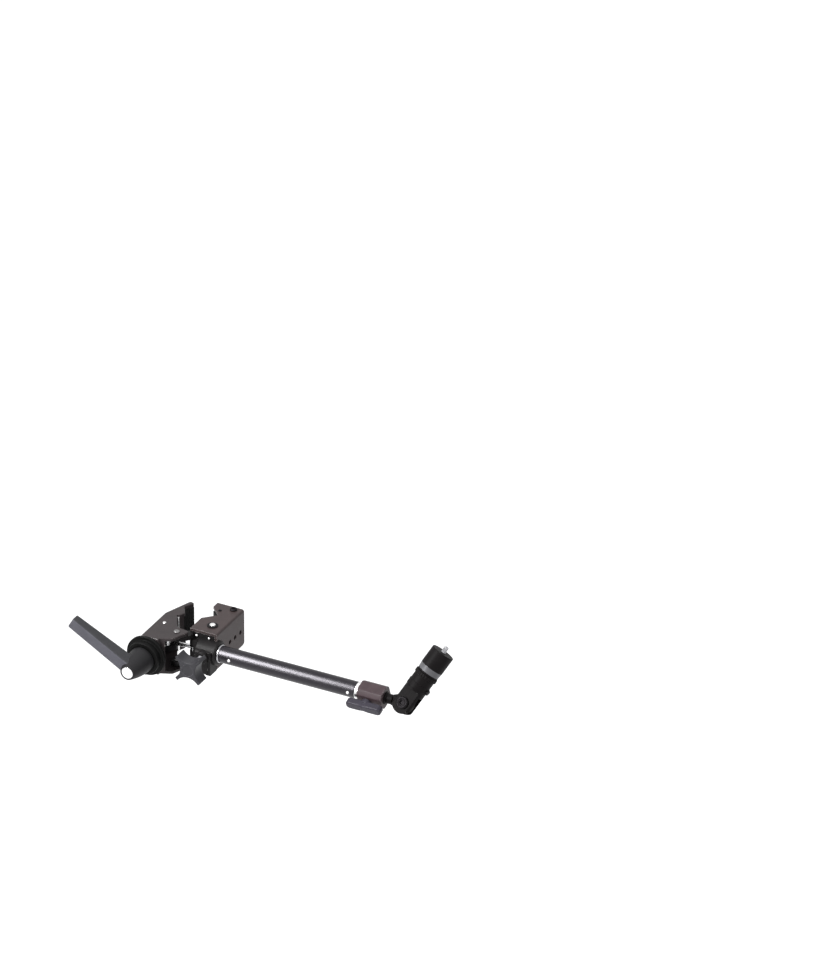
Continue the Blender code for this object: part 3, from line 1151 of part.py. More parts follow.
def barrel_pieces(body, dark, steel):
    """What turns on top of the fork: notched ring, barrel, its swivel bolt and the stud on top."""
    ring_low = FORK_TOP + FIT
    ring_high = ring_low + LOCK_RING_HEIGHT
    points = []
    for i in range(2 * LOCK_RING_TEETH):
        radius = LOCK_RING_RADIUS - (LOCK_RING_CUT if i % 2 else 0)
        points.append(turned_point(radius, i, 2 * LOCK_RING_TEETH))
    ring = place("lock_ring", prism(points, ring_low, ring_high), POST_TURNED, body, dark)
    cut(ring, rod(SWIVEL_RADIUS + FIT, 0, HEAD_HEIGHT), POST_TURNED)
    barrel_low = ring_high + FIT
    cone_start = barrel_low + SHOULDER_HEIGHT
    cone_end = cone_start + CHAMFER_HEIGHT
    edge = 0.0005
    profile = [(0, barrel_low), (SHOULDER_RADIUS, barrel_low), (SHOULDER_RADIUS, cone_start)]
    profile += [(HEAD_BARREL_RADIUS, cone_end), (HEAD_BARREL_RADIUS, HEAD_HEIGHT - edge)]
    profile += [(HEAD_BARREL_RADIUS - edge, HEAD_HEIGHT), (0, HEAD_HEIGHT)]
    barrel = place("swivel_barrel", turned(profile, 40), POST_TURNED, body, dark)
    bolt_top = barrel_low + SWIVEL_RISE
    cut(barrel, rod(SWIVEL_RADIUS + FIT, 0, bolt_top + FIT), POST_TURNED)
    stud_low = HEAD_HEIGHT - TOP_STUD_DEPTH
    cut(barrel, rod(TOP_STUD_RADIUS + FIT, stud_low - FIT, HEAD_HEIGHT + OVERSHOOT, 16), POST_TURNED)
    bolt_low = FORK_TOP - SWIVEL_DEPTH
    bolt = chamfered_rod(SWIVEL_RADIUS, bolt_low, bolt_top, 0.0005, 24)
    place("swivel_bolt", bolt, POST_TURNED, body, steel)
    stud = chamfered_rod(TOP_STUD_RADIUS, stud_low, HEAD_HEIGHT + TOP_STUD_RISE, 0.0006, 16)
    place("top_stud", stud, POST_TURNED, body, steel)


def build():
    """Clears the scene and makes every piece on the empty of its moving body."""
    for old in list(bpy.data.objects):
        bpy.data.objects.remove(old)
    on_spindle = (SPINDLE_X, HOUSING_FRONT, 0)
    clamp = body_point("clamp_body", (0, 0, 0))
    left_jaw = body_point("moving_jaw", (*HINGE, 0))
    spindle = body_point("lever_spindle", on_spindle)
    handle = body_point("lever", on_spindle)
    wedge_body = body_point("wedge_nut", on_spindle)
    rod_body = body_point("rod", (*ROD_FIXED_PIN, 0))
    pad_body = body_point("stud_pad_slide", (KNOB_X, ARM_Y, 0))
    knob_body = body_point("star_knob_turn", (KNOB_X, ARM_Y, 0))
    arm_body = body_point("arm", (BARREL_RIGHT, ARM_Y, 0))
    head_pad_body = body_point("head_pad_slide", (T_KNOB_X, ARM_Y, 0))
    t_body = body_point("t_knob_turn", (T_KNOB_X, ARM_Y, 0))
    head_body = body_point("head", (BLOCK_END, ARM_Y, 0))
    fork_body = body_point("fork", PIVOT)
    barrel_body = body_point("barrel", PIVOT + POST * FORK_TOP)

    paint = looks("warm black paint", (0.075, 0.062, 0.060), 0.45)
    casting = looks("black casting", (0.035, 0.034, 0.036), 0.42)
    jaw_paint = looks("moving jaw paint", (0.085, 0.075, 0.075), 0.45)
    rubber = looks("black rubber", (0.012, 0.012, 0.012), 0.8)
    bright = looks("bright steel", (0.72, 0.72, 0.73), 0.22, 1.0)
    steel = looks("steel", (0.50, 0.50, 0.52), 0.30, 1.0)
    dark_steel = looks("blackened steel", (0.05, 0.05, 0.055), 0.35, 1.0)
    bronze = looks("bronze", (0.55, 0.36, 0.17), 0.35, 1.0)
    disc = looks("disc plastic", (0.018, 0.018, 0.019), 0.5)
    grip = looks("lever plastic", (0.085, 0.088, 0.100), 0.42)
    cap = looks("cap metal", (0.85, 0.85, 0.86), 0.25, 1.0)
    knob = looks("knob plastic", (0.040, 0.040, 0.046), 0.4)
    tube = looks("tube anodising", (0.022, 0.020, 0.026), 0.28, 0.6)
    block = looks("block paint", (0.070, 0.052, 0.056), 0.4)
    t_plastic = looks("t knob plastic", (0.090, 0.090, 0.110), 0.4)
    head = looks("head anodising", (0.016, 0.015, 0.017), 0.38)
    washers = looks("friction lining", (0.20, 0.16, 0.12), 0.7)

    jaw_channel(clamp, paint)
    v_block(clamp, casting)
    fixed_pads(clamp, rubber)
    channel_fasteners(clamp, bright, dark_steel)
    socket_casting(clamp, casting)
    casting_fasteners(clamp, bright)
    jaw_housing(left_jaw, jaw_paint)
    housing_pieces(left_jaw, rubber, bright, bronze)
    spindle_pieces(spindle, steel, disc, cap)
    lever_handle(handle, grip)
    ratchet_spring(spindle, steel)
    wedge(wedge_body, steel)
    tie_rod(rod_body, bright, steel)
    stud_lock(pad_body, knob_body, knob, steel, bronze)
    clamp_stud(arm_body, bright)
    arm_tube(arm_body, tube)
    cross_pins(arm_body, bright)
    end_collar(arm_body, bright)
    socket_block(arm_body, block)
    head_lock(head_pad_body, t_body, t_plastic, steel, bronze)
    head_spigot(head_body, head)
    friction_washers(head_body, washers)
    fork_post(fork_body, head)
    pivot_pieces(fork_body, dark_steel, steel)
    barrel_pieces(barrel_body, head, steel)


build()
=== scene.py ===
"""Looks of the extension arm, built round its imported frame. Metres, in the frame's own axes."""

import json
import math

import bmesh
import bpy
from mathutils import Matrix, Vector


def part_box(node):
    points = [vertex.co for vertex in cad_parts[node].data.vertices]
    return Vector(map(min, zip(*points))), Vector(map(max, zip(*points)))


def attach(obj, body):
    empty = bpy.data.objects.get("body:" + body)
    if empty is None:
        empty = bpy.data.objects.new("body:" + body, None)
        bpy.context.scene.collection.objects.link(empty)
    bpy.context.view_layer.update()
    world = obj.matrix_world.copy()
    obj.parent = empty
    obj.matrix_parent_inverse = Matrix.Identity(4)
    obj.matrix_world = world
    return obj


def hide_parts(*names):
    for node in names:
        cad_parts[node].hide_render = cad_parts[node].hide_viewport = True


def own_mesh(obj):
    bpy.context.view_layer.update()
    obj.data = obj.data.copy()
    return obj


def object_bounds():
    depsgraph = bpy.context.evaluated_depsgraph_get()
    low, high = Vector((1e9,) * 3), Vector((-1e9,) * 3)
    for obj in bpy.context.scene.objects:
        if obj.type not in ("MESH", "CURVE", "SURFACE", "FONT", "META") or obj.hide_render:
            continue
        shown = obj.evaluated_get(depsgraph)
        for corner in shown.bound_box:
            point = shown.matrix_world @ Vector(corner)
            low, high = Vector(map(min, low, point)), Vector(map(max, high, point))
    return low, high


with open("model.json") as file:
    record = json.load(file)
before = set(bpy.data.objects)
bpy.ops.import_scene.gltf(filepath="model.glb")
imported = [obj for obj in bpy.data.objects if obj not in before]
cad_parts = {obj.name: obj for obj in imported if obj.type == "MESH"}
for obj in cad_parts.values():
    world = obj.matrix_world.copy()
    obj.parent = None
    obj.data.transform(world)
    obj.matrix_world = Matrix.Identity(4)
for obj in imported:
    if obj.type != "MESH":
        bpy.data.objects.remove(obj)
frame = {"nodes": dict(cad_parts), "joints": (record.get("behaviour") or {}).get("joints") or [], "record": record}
cad_low, cad_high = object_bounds()

X = Vector((1, 0, 0))
Y = Vector((0, 1, 0))
Z = Vector((0, 0, 1))
JOINTS = {joint["name"]: joint for joint in frame["joints"]}
BODY_OF = {
    node: body for body, nodes in frame["record"]["behaviour"]["bodies"].items() for node in nodes
}

# Roundness of the fine meshes
SIDES = 96
SMALL_SIDES = 48
WIRE_SIDES = 12
COIL_STEPS_PER_TURN = 36
THREAD_STEPS_PER_TURN = 8
SHARP_DEGREES = 34

# Joining of facets that the frame's solids have where a face is flat
WELD_DISTANCE = 0.000002
FLAT_DEGREES = 0.6

# Rounded edges of pieces that keep the shape of their solid
FINE_EDGE = 0.00015
BOLT_EDGE = 0.0002
PIVOT_HEAD_EDGE = 0.00025
PAD_EDGE = 0.0003
BAR_STOCK_EDGE = 0.0003
SHEET_EDGE = 0.00035
MACHINED_EDGE = 0.0004
CAST_EDGE = 0.0005

# Roundings of turned corners, from the crispest up
HAIR = 0.0001
CRISP = 0.0002
LIGHT = 0.0003
EASED = 0.0004
BLUNT = 0.0005
SOFT = 0.0006
BROAD = 0.0012
CROWNED = 0.0020

# How far a cutting shape reaches past the surface that it opens
CUT_PAST = 0.001

# Lever bar
LEVER_ANGLE = math.radians(150.2)
BAR_LENGTH = 0.0930
BAR_WIDTH = 0.0168
BAR_TIP_WIDTH = 0.0156
BAR_DROP = 0.0010
BAR_ROOT_DEPTH = 0.0195
BAR_TIP_DEPTH = 0.0122
BAR_SETBACK = 0.0035
BAR_EDGE = 0.0026
BAR_TIP_EDGE = 0.0003
BAR_END_ROUND = 0.0016
BAR_END_STEPS = 5
BAR_STATIONS = 4
# Bar faces that lean less towards the front than this take a darker copy of the plastic as painted shade
BAR_FACE_LEAN = 0.75

# Lever hub: its edges pass through a point that lies HUB_EDGE in from the side and the end
HUB_ROOT_RADIUS = 0.0165
HUB_NOSE_RADIUS = 0.0096
HUB_SWELL_POWER = 1.9
HUB_STEPS = 30
HUB_BACK_LAND = 0.0010
HUB_NOSE_LAND = 0.0008
HUB_BACK_INSET = 0.0008
HUB_NOSE_INSET = 0.0007
HUB_EDGE = (0.0002, 0.0003)
HUB_TOLERANCE = 0.0002
CORE_HOLE_RADIUS = 0.0088
CORE_HOLE_DEPTH = 0.0126

# Lever cap: its shoulder lies at a share of its radius, and below its top by a share of its crown
CAP_SCREW_HOLE = 0.0033
CAP_CHAMBER_RADIUS = 0.0080
CAP_CHAMBER_DEPTH = 0.0130
CAP_CROWN = 0.0003
CAP_SHOULDER = 0.55
CAP_SHOULDER_DROP = 0.25

# Ratchet spring
SPRING_WIRE = 0.0004
SPRING_TURNS = 4

# Thrust disc
DISC_BORE = 0.0053
DISC_STEP = 0.0042
DISC_RIM_ROUND = 0.0009
INNER_DISC_RADIUS = 0.0215
INNER_DISC_FOOT = 0.0012
INNER_DISC_FOOT_RISE = 0.0004
DISC_LIP_RADIUS = 0.0178
DISC_SUNK_RADIUS = 0.0174
DISC_SUNK_DEPTH = 0.0004

# Star knob
STAR_THICKNESS = 0.0180
STAR_HUB_RADIUS = 0.0066
STAR_HUB_OVERLAP = 0.0020
STAR_RADIUS = 0.0225
STAR_WAIST = 0.0102
STAR_LOBE_HALF = math.radians(6)
STAR_SCOOP_STEPS = 24
STAR_EDGE = 0.0010
STAR_DISH_RADIUS = 0.0078
STAR_DISH_DEPTH = 0.0005
STAR_BORE = 0.0043
STAR_SCREW_COVER = 0.0024
STAR_SCREW_GAP = 0.0003
STAR_PITCH = 0.0015
STAR_THREAD_DEPTH = 0.0004

# T-knob: its ends are a share of its width
T_LENGTH = 0.047
T_WIDTH = 0.0112
T_END_SHARE = 0.55
T_WAIST = 0.0092
T_WING_INNER = 0.0060
T_WING_TAPER = 0.0035
T_CORNER_ROUND = 0.0030
T_WING_ROUND = 0.0040
T_DEPTH = 0.0100
T_EDGE = 0.0022
T_BOSS_RADIUS = 0.0062
T_BOSS_OVERLAP = 0.0030
T_BORE = 0.0033
T_SCREW_COVER = 0.0027
T_PITCH = 0.001
T_THREAD_DEPTH = 0.0003

# Arm tube
TUBE_WALL = 0.0016
PIN_HOLE_RADIUS = 0.0024
NEAR_PIN_INSET = 0.0148
FAR_PIN_INSET = 0.0082

# Cross pins: the flat's share of the radius, and the height of the dome and of the bevel at each end
CROSS_PIN_FLAT = 0.75
CROSS_PIN_DOME = 0.0001
CROSS_PIN_BEVEL = 0.0009

# Upright pins: radius of the shank, rise of the head, and the share of that rise that is its rim
PIN_SIZES = {
    "channel_pin": (0.0030, 0.0013, 0.30),
    "channel_rivet": (0.0014, 0.0009, 0.35),
    "hinge_pin_upper": (0.0030, 0.0015, 0.30),
    "hinge_pin_lower": (0.0030, 0.0015, 0.30),
    "housing_rivet": (0.0014, 0.0009, 0.35),
}

# Domes of the upright pins: shoulder and flat as shares of the head's radius, and the drop of its rise
PIN_SHOULDER = 0.78
PIN_SHOULDER_DROP = 0.12
PIN_FLAT = 0.30

# Pin washer: its rounding is a share of its thickness
PIN_WASHER_BORE = 0.0033
PIN_WASHER_ROUND = 0.3

# Front screws: shoulder and recess as shares of the head's radius, and the recess's turn in radians
SCREW_SHANK = 0.0012
SCREW_RISE = 0.0012
SCREW_DOME = 0.0007
SCREW_SHOULDER = 0.55
SCREW_SHOULDER_DROP = 0.00005
SCREW_SHOULDER_ROUND = 0.0008
RECESS_REACH = 0.6
RECESS_HALF_WIDTH = 0.0002
RECESS_DEPTH = 0.0006
RECESS_TURN = 0.4

# Swivel barrel and top stud
BARREL_SHOULDER_RADIUS = 0.0141
BARREL_SHOULDER_HEIGHT = 0.0022
BARREL_CONE_HEIGHT = 0.0072
BARREL_BORE_RADIUS = 0.0053
BARREL_BORE_DEPTH = 0.0123
BAND_TOLERANCE = 0.0003
STUD_HOLE_RADIUS = 0.00348
STUD_HOLE_DEPTH = 0.0093
STUD_PITCH = 0.00127
STUD_THREAD_DEPTH = 0.00045

# Lock ring: what lies beyond a share of its radius is notched
RING_NOTCHES = 24
RING_NOTCH_DEPTH = 0.0005
RING_NOTCH_SIDES = 8
RING_RIM_SHARE = 0.8
RING_LIP = 0.00027
RING_LIP_RADIUS = 0.0120


# Places


def frame_on(origin, axis, side):
    """A frame at origin, with its Z along axis and its X towards side."""
    z = Vector(axis).normalized()
    x = Vector(side)
    x = (x - z * z.dot(x)).normalized()
    placed = Matrix((x, z.cross(x), z)).transposed().to_4x4()
    placed.translation = Vector(origin)
    return placed


def facing_front(origin):
    """A frame at origin that looks towards the front, with its Z along -Y."""
    return frame_on(origin, -Y, X)


def joint_frame(name, side):
    """A frame on a joint, with its Z along the joint's axis."""
    return frame_on(JOINTS[name]["pos_m"], JOINTS[name]["axis"], side)


def extent(node, placed):
    """Lowest and highest place of a node along a frame's Z, and its largest radius about it."""
    local = placed.inverted()
    points = [local @ v.co for v in frame["nodes"][node].data.vertices]
    heights = [p.z for p in points]
    return min(heights), max(heights), max(math.hypot(p.x, p.y) for p in points)


def middle(node):
    """Middle of a node's box."""
    low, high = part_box(node)
    return (low + high) / 2


def upright(node):
    """An upright frame through the middle of a node's plan, at the frame's own height."""
    centre = middle(node)
    return Matrix.Translation((centre.x, centre.y, 0))


ARM = joint_frame("arm_turn", Y)
LEVER = facing_front(JOINTS["lever_turn"]["pos_m"])
STAR = facing_front(JOINTS["star_knob_spin"]["pos_m"])
T_KNOB = joint_frame("t_knob_spin", X)
POST = frame_on(JOINTS["head_tilt"]["pos_m"], JOINTS["head_pan"]["axis"], JOINTS["head_tilt"]["axis"])


# Outlines

# Largest share of a straight stretch that the arc at one of its ends may take up
ARC_SHARE = 0.48


def rounded(corners, steps=5):
    """A line through (x, y, radius) corners, each corner turned by an arc of that radius."""
    line = []
    for i, (x, y, radius) in enumerate(corners):
        if radius == 0:
            line.append((x, y))
            continue
        corner = Vector((x, y))
        before = Vector(corners[i - 1][:2]) - corner
        after = Vector(corners[(i + 1) % len(corners)][:2]) - corner
        half = before.angle(after) / 2
        setback = min(radius / math.tan(half), ARC_SHARE * before.length, ARC_SHARE * after.length)
        start = corner + before.normalized() * setback
        end = corner + after.normalized() * setback
        reach = setback * math.tan(half)
        inward = (before.normalized() + after.normalized()).normalized()
        centre = corner + inward * math.hypot(setback, reach)
        first = (start - centre).angle_signed(Vector((1, 0)))
        sweep = (end - centre).angle_signed(start - centre)
        for step in range(steps + 1):
            angle = first + sweep * step / steps
            line.append((centre.x + reach * math.cos(angle), centre.y + reach * math.sin(angle)))
    return line


def around(radius, angle):
    """The point at an angle on a circle."""
    return (radius * math.cos(angle), radius * math.sin(angle))


def rotated(x, y, angle):
    """A point turned about the origin."""
    return (x * math.cos(angle) - y * math.sin(angle), x * math.sin(angle) + y * math.cos(angle))


# Mesh building


def turned(profile, sides=SIDES, radius_at=None):
    """Turns (radius, height) points about Z; radius_at may change each radius with angle and height."""
    bm = bmesh.new()
    rings = []
    for radius, height in profile:
        if radius == 0:
            rings.append([bm.verts.new((0, 0, height))])
            continue
        ring = []
        for i in range(sides):
            angle = 2 * math.pi * i / sides
            here = radius_at(radius, angle, height) if radius_at else radius
            ring.append(bm.verts.new((*around(here, angle), height)))
        rings.append(ring)
    hollow = profile[0][0] > 0
    following = rings[1:] + (rings[:1] if hollow else [])
    # A point on the axis is a ring of one, and its faces are triangles
    for lower, upper in zip(rings, following):
        for i in range(sides):
            j = (i + 1) % sides
            loop = [lower[i % len(lower)], lower[j % len(lower)]]
            loop += [upper[j % len(upper)], upper[i % len(upper)]]
            bm.faces.new(list(dict.fromkeys(loop)))
    return bm


def disc_stack(levels, sides=SIDES):
    """Turned solid through (radius, height, edge radius) corners that start and end on the axis."""
    return turned(rounded(levels, steps=4), sides)


def drum(radius, low, high, edge, sides=SIDES):
    """Solid cylinder with rounded edges."""
    return disc_stack([(0, low, 0), (radius, low, edge), (radius, high, edge), (0, high, 0)], sides)


def prism(outline, low, high):
    """Solid with an (x, y) outline between two heights."""
    bm = bmesh.new()
    base = bm.faces.new([bm.verts.new((x, y, low)) for x, y in outline])
    lifted = bmesh.ops.extrude_face_region(bm, geom=[base])
    top = [v for v in lifted["geom"] if isinstance(v, bmesh.types.BMVert)]
    bmesh.ops.translate(bm, verts=top, vec=(0, 0, high - low))
    return bm


def threaded(radius, low, high, pitch, depth):
    """A rod with a helical thread, tapered at its two ends over twice the thread's depth."""
    rings = THREAD_STEPS_PER_TURN * max(1, round((high - low) / pitch))
    heights = [low + (high - low) * i / rings for i in range(rings + 1)]
    taper = 2 * depth

    def crest(r, angle, height):
        turn = (height / pitch - angle / (2 * math.pi)) % 1.0
        ease = min(1.0, (height - low) / taper, (high - height) / taper)
        return r - depth * abs(2 * turn - 1) - (1 - ease) * depth

    profile = [(0, low)] + [(radius, h) for h in heights] + [(0, high)]
    return turned(profile, SMALL_SIDES, crest)


def skin(bm, rings):
    """Joins each ring of vertices to the next, and closes the first and the last."""
    for lower, upper in zip(rings, rings[1:]):
        for i in range(len(lower)):
            j = (i + 1) % len(lower)
            bm.faces.new((lower[i], lower[j], upper[j], upper[i]))
    bm.faces.new(rings[0])
    bm.faces.new(rings[-1])


def coil(radius, wire, low, high, turns):
    """Round wire wound about Z, with its ends closed, between two heights of the wire's middle."""
    steps = COIL_STEPS_PER_TURN * turns
    slope = (high - low) / (2 * math.pi * radius * turns)
    rings = []
    bm = bmesh.new()
    for step in range(steps + 1):
        angle = 2 * math.pi * turns * step / steps
        out = Vector((*around(1.0, angle), 0))
        along = Vector((-out.y, out.x, slope)).normalized()
        side = along.cross(out)
        centre = out * radius + Z * (low + (high - low) * step / steps)
        ring = []
        for i in range(WIRE_SIDES):
            across, over = around(wire, 2 * math.pi * i / WIRE_SIDES)
            ring.append(bm.verts.new(centre + out * across + side * over))
        rings.append(ring)
    skin(bm, rings)
    return bm


def shade(mesh):
    """Smooth shading that stops at sharp edges."""
    mesh.shade_smooth()
    mesh.set_sharp_from_angle(angle=math.radians(SHARP_DEGREES))


def drawn(name, bm, placed):
    """A new object with a mesh that is drawn in a frame."""
    bmesh.ops.recalc_face_normals(bm, faces=bm.faces)
    mesh = bpy.data.meshes.new(name)
    bm.to_mesh(mesh)
    bm.free()
    mesh.transform(placed)
    made = bpy.data.objects.new(name, mesh)
    bpy.context.scene.collection.objects.link(made)
    return made


def piece(node, bm, placed, finish):
    """A fine piece, drawn in a frame, that stands for a node and rides on that node's body."""
    made = drawn(f"fine_{node}", bm, placed)
    shade(made.data)
    made.data.materials.append(finish[0])
    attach(made, BODY_OF[node])
    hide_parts(node)
    flatten_shading(made)
    return made


def repaint(node, finish):
    """Keeps a node's own shape and gives it a finer surface."""
    cad = frame["nodes"][node]
    cad.data.materials.clear()
    cad.data.materials.append(finish[0])


def paint_faces(target, placed, index_of):
    """Picks each face's material by its middle and its normal in a frame."""
    local = placed.inverted()
    for face in target.data.polygons:
        face.material_index = index_of(local @ face.center, local.to_3x3() @ face.normal)


def settle(target):
    """Applies a piece's modifiers to its mesh."""
    bpy.context.view_layer.update()
    graph = bpy.context.evaluated_depsgraph_get()
    mesh = bpy.data.meshes.new_from_object(target.evaluated_get(graph))
    target.modifiers.clear()
    target.data = mesh
    return mesh


def shape_with(target, bm, placed, operation):
    """Runs a Boolean on a piece at once, and drops the shape it was run with."""
    tool = drawn(f"{target.name}_tool", bm, placed)
    modifier = target.modifiers.new("Boolean", "BOOLEAN")
    modifier.operation = operation
    modifier.solver = "EXACT"
    modifier.object = tool
    shade(settle(target))
    bpy.data.objects.remove(tool)


def cut(target, bm, placed):
    """Takes a shape out of a piece."""
    shape_with(target, bm, placed, "DIFFERENCE")


def join(target, bm, placed):
    """Adds a shape to a piece."""
    shape_with(target, bm, placed, "UNION")


def round_edges(target, width, angle=SHARP_DEGREES, segments=3):
    """Rounds the edges of a piece that turn by more than an angle in degrees."""
    modifier = target.modifiers.new("Bevel", "BEVEL")
    modifier.width = width
    modifier.segments = segments
    modifier.limit_method = "ANGLE"
    modifier.angle_limit = math.radians(angle)
    modifier.miter_outer = "MITER_ARC"
    shade(settle(target))


def flatten_shading(target):
    """Lets the large faces set the shading, so that flat faces look flat between rounded edges."""
    modifier = target.modifiers.new("Weighted Normal", "WEIGHTED_NORMAL")
    modifier.mode = "FACE_AREA"
    modifier.weight = 100
    modifier.keep_sharp = True
    settle(target)


def refined(node, finish, edge):
    """A node's own shape, with its flat faces joined up and its edges rounded."""
    bm = bmesh.new()
    bm.from_mesh(frame["nodes"][node].data)
    bmesh.ops.remove_doubles(bm, verts=bm.verts, dist=WELD_DISTANCE)
    flat = math.radians(FLAT_DEGREES)
    bmesh.ops.dissolve_limit(bm, angle_limit=flat, verts=bm.verts, edges=bm.edges)
    made = piece(node, bm, Matrix.Identity(4), finish)
    round_edges(made, edge)
    flatten_shading(made)


# Surfaces

# Patterns: size of their features, and their detail
COAT_CLOUD = (0.012, 4.0)
WEAR_CLOUD = (0.006, 5.0)
PLASTIC_CLOUD = (0.010, 4.0)
RUB_CLOUD = (0.005, 4.0)
SPECKS = (0.0011, 2.0)
STAINS = (0.004, 5.0)
BRUSH_MARKS = (0.0006, 3.0)
RUBBER_GRAIN = (0.0004, 4.0)
RUBBER_DUST = (0.006, 5.0)
TUBE_CLOUD = (0.014, 4.0)
DRAWN_LINES = (0.0024, 2.0)
SCRATCHES = (0.0016, 2.0)

# Ranges of a pattern, or of two patterns added up, over which it takes effect
CLOUD_RANGE = (0.3, 0.7)
SUM_RANGE = (0.7, 1.3)
METAL_SUM_RANGE = (0.7, 1.4)
STAIN_RANGE = (0.35, 0.75)
WEAR_RANGE = (0.62, 0.72)
RUB_RANGE = (0.35, 0.60)
SPECK_RANGE = (0.70, 0.78)
DUST_RANGE = (0.45, 0.80)

# Edges: cosine of the turn where an edge starts to show and where it is full, and how wide it rubs, which also
# sets how wide the painted edge highlight is
EDGE_RANGE = (0.985, 0.80)
COAT_EDGE_WIDTH = 0.0006
PLASTIC_EDGE_WIDTH = 0.0007

# How far roughness falls below and rises above its own value, and how much smoother bare metal is
SMOOTHER = 0.05
ROUGHER = 0.07
METAL_ROUGHER = 0.14
BARE_SMOOTHER = 0.12

RUBBER_ROUGHNESS = (0.72, 0.88)
TUBE_ROUGHNESS = (0.25, 0.28)

# Darkest and palest multiple of a colour that drifts, and what stains and dust make of a colour
COAT_TINTS = (0.86, 1.16)
PLASTIC_TINTS = (0.90, 1.12)
TUBE_TINTS = (1.0, 1.35)
STAIN_TINT = 0.84
DUST_TINT = 2.4

# Height of brush marks and of rubber's grain
BRUSH_DEPTH = 0.000004
RUBBER_DEPTH = 0.00005

# How patterns are stretched along the arm
UNSTRETCHED = (1.0, 1.0, 1.0)
ROD_STRETCH = (0.06, 1.0, 1.0)
DRAWN_STRETCH = (0.02, 1.0, 1.0)
SCRATCH_STRETCH = (0.05, 1.0, 1.0)

# Pale grey of bare edges, which on the coatings also serves as a painted edge highlight
BARE_AND_LIT_EDGE = (0.55, 0.53, 0.52)
DUST_GREY = (0.30, 0.29, 0.28)
SCRATCH_GREY = (0.16, 0.155, 0.165)
TUBE_BLACK = (0.0045, 0.0035, 0.006)
TUBE_SHEEN = (0.96, 0.93, 1.0, 1.0)
TUBE_ANISOTROPY = 0.8
SCRATCH_STRENGTH = 0.25


def lighter(colour, factor):
    """A colour times a factor."""
    return tuple(min(1.0, part * factor) for part in colour)


class Surface:
    """A Principled material that is built up from procedural patterns, with the name of its slot."""

    def __init__(self, name, slot, metallic=0.0, gloss=0.5):
        self.slot = slot
        self.material = bpy.data.materials.new(name)
        self.material.use_nodes = True
        self.tree = self.material.node_tree
        self.shader = self.tree.nodes["Principled BSDF"]
        self.shader.inputs["Metallic"].default_value = metallic
        self.shader.inputs["Specular IOR Level"].default_value = gloss
        self.place = self.tree.nodes.new("ShaderNodeTexCoord").outputs["Object"]

    def feed(self, socket, value):
        """Links a pattern to a socket, or sets the socket to a plain value."""
        if isinstance(value, bpy.types.NodeSocket):
            self.tree.links.new(value, socket)
        else:
            socket.default_value = value

    def feed_colour(self, socket, colour):
        """Links or sets a colour."""
        self.feed(socket, (*colour, 1.0) if isinstance(colour, tuple) else colour)

    def noise(self, size, detail, stretch=None, rough=0.5):
        """Cloudy pattern whose features measure about size metres; stretch lengthens them along an axis."""
        place = self.place
        if stretch:
            mapping = self.tree.nodes.new("ShaderNodeMapping")
            self.feed(mapping.inputs["Vector"], place)
            mapping.inputs["Scale"].default_value = stretch
            place = mapping.outputs["Vector"]
        pattern = self.tree.nodes.new("ShaderNodeTexNoise")
        self.feed(pattern.inputs["Vector"], place)
        pattern.inputs["Scale"].default_value = 1 / size
        pattern.inputs["Detail"].default_value = detail
        pattern.inputs["Roughness"].default_value = rough
        return pattern.outputs["Fac"]

    def place_along(self, axis):
        """The place along one of the frame's axes."""
        parts = self.tree.nodes.new("ShaderNodeSeparateXYZ")
        self.feed(parts.inputs["Vector"], self.place)
        return parts.outputs[axis]

    def span(self, value, low, high, to_low=0.0, to_high=1.0):
        """Maps a value's range from low..high to another, and clamps it."""
        node = self.tree.nodes.new("ShaderNodeMapRange")
        self.feed(node.inputs["Value"], value)
        limits = {"From Min": low, "From Max": high, "To Min": to_low, "To Max": to_high}
        for name, limit in limits.items():
            node.inputs[name].default_value = limit
        return node.outputs["Result"]

    def maths(self, operation, first, second):
        """Adds, multiplies or otherwise combines two values."""
        node = self.tree.nodes.new("ShaderNodeMath")
        node.operation = operation
        self.feed(node.inputs[0], first)
        self.feed(node.inputs[1], second)
        return node.outputs["Value"]

    def mix(self, factor, first, second):
        """Mixes two colours."""
        node = self.tree.nodes.new("ShaderNodeMix")
        node.data_type = "RGBA"
        self.feed(node.inputs["Factor"], factor)
        self.feed_colour(node.inputs["A"], first)
        self.feed_colour(node.inputs["B"], second)
        return node.outputs["Result"]

    def drift(self, cloud, colour, darkest, palest):
        """A colour that drifts with a cloud between two multiples of itself."""
        return self.mix(self.span(cloud, *CLOUD_RANGE), lighter(colour, darkest), lighter(colour, palest))

    def uneven(self, first, second, smoothest, roughest):
        """Roughness that follows the sum of two patterns."""
        return self.span(self.maths("ADD", first, second), *SUM_RANGE, smoothest, roughest)

    def edges(self, radius):
        """Bright where the surface turns an edge."""
        bevel = self.tree.nodes.new("ShaderNodeBevel")
        bevel.inputs["Radius"].default_value = radius
        plain = self.tree.nodes.new("ShaderNodeNewGeometry")
        product = self.tree.nodes.new("ShaderNodeVectorMath")
        product.operation = "DOT_PRODUCT"
        self.feed(product.inputs[0], bevel.outputs["Normal"])
        self.feed(product.inputs[1], plain.outputs["Normal"])
        return self.span(product.outputs["Value"], *EDGE_RANGE)

    def bump(self, height, distance):
        """Raises the surface with a pattern."""
        node = self.tree.nodes.new("ShaderNodeBump")
        self.feed(node.inputs["Height"], height)
        node.inputs["Distance"].default_value = distance
        self.feed(self.shader.inputs["Normal"], node.outputs["Normal"])

    def finish(self, colour, roughness):
        """Completes the surface, and returns its material and the name of its slot."""
        self.feed_colour(self.shader.inputs["Base Color"], colour)
        self.feed(self.shader.inputs["Roughness"], roughness)
        return self.material, self.slot


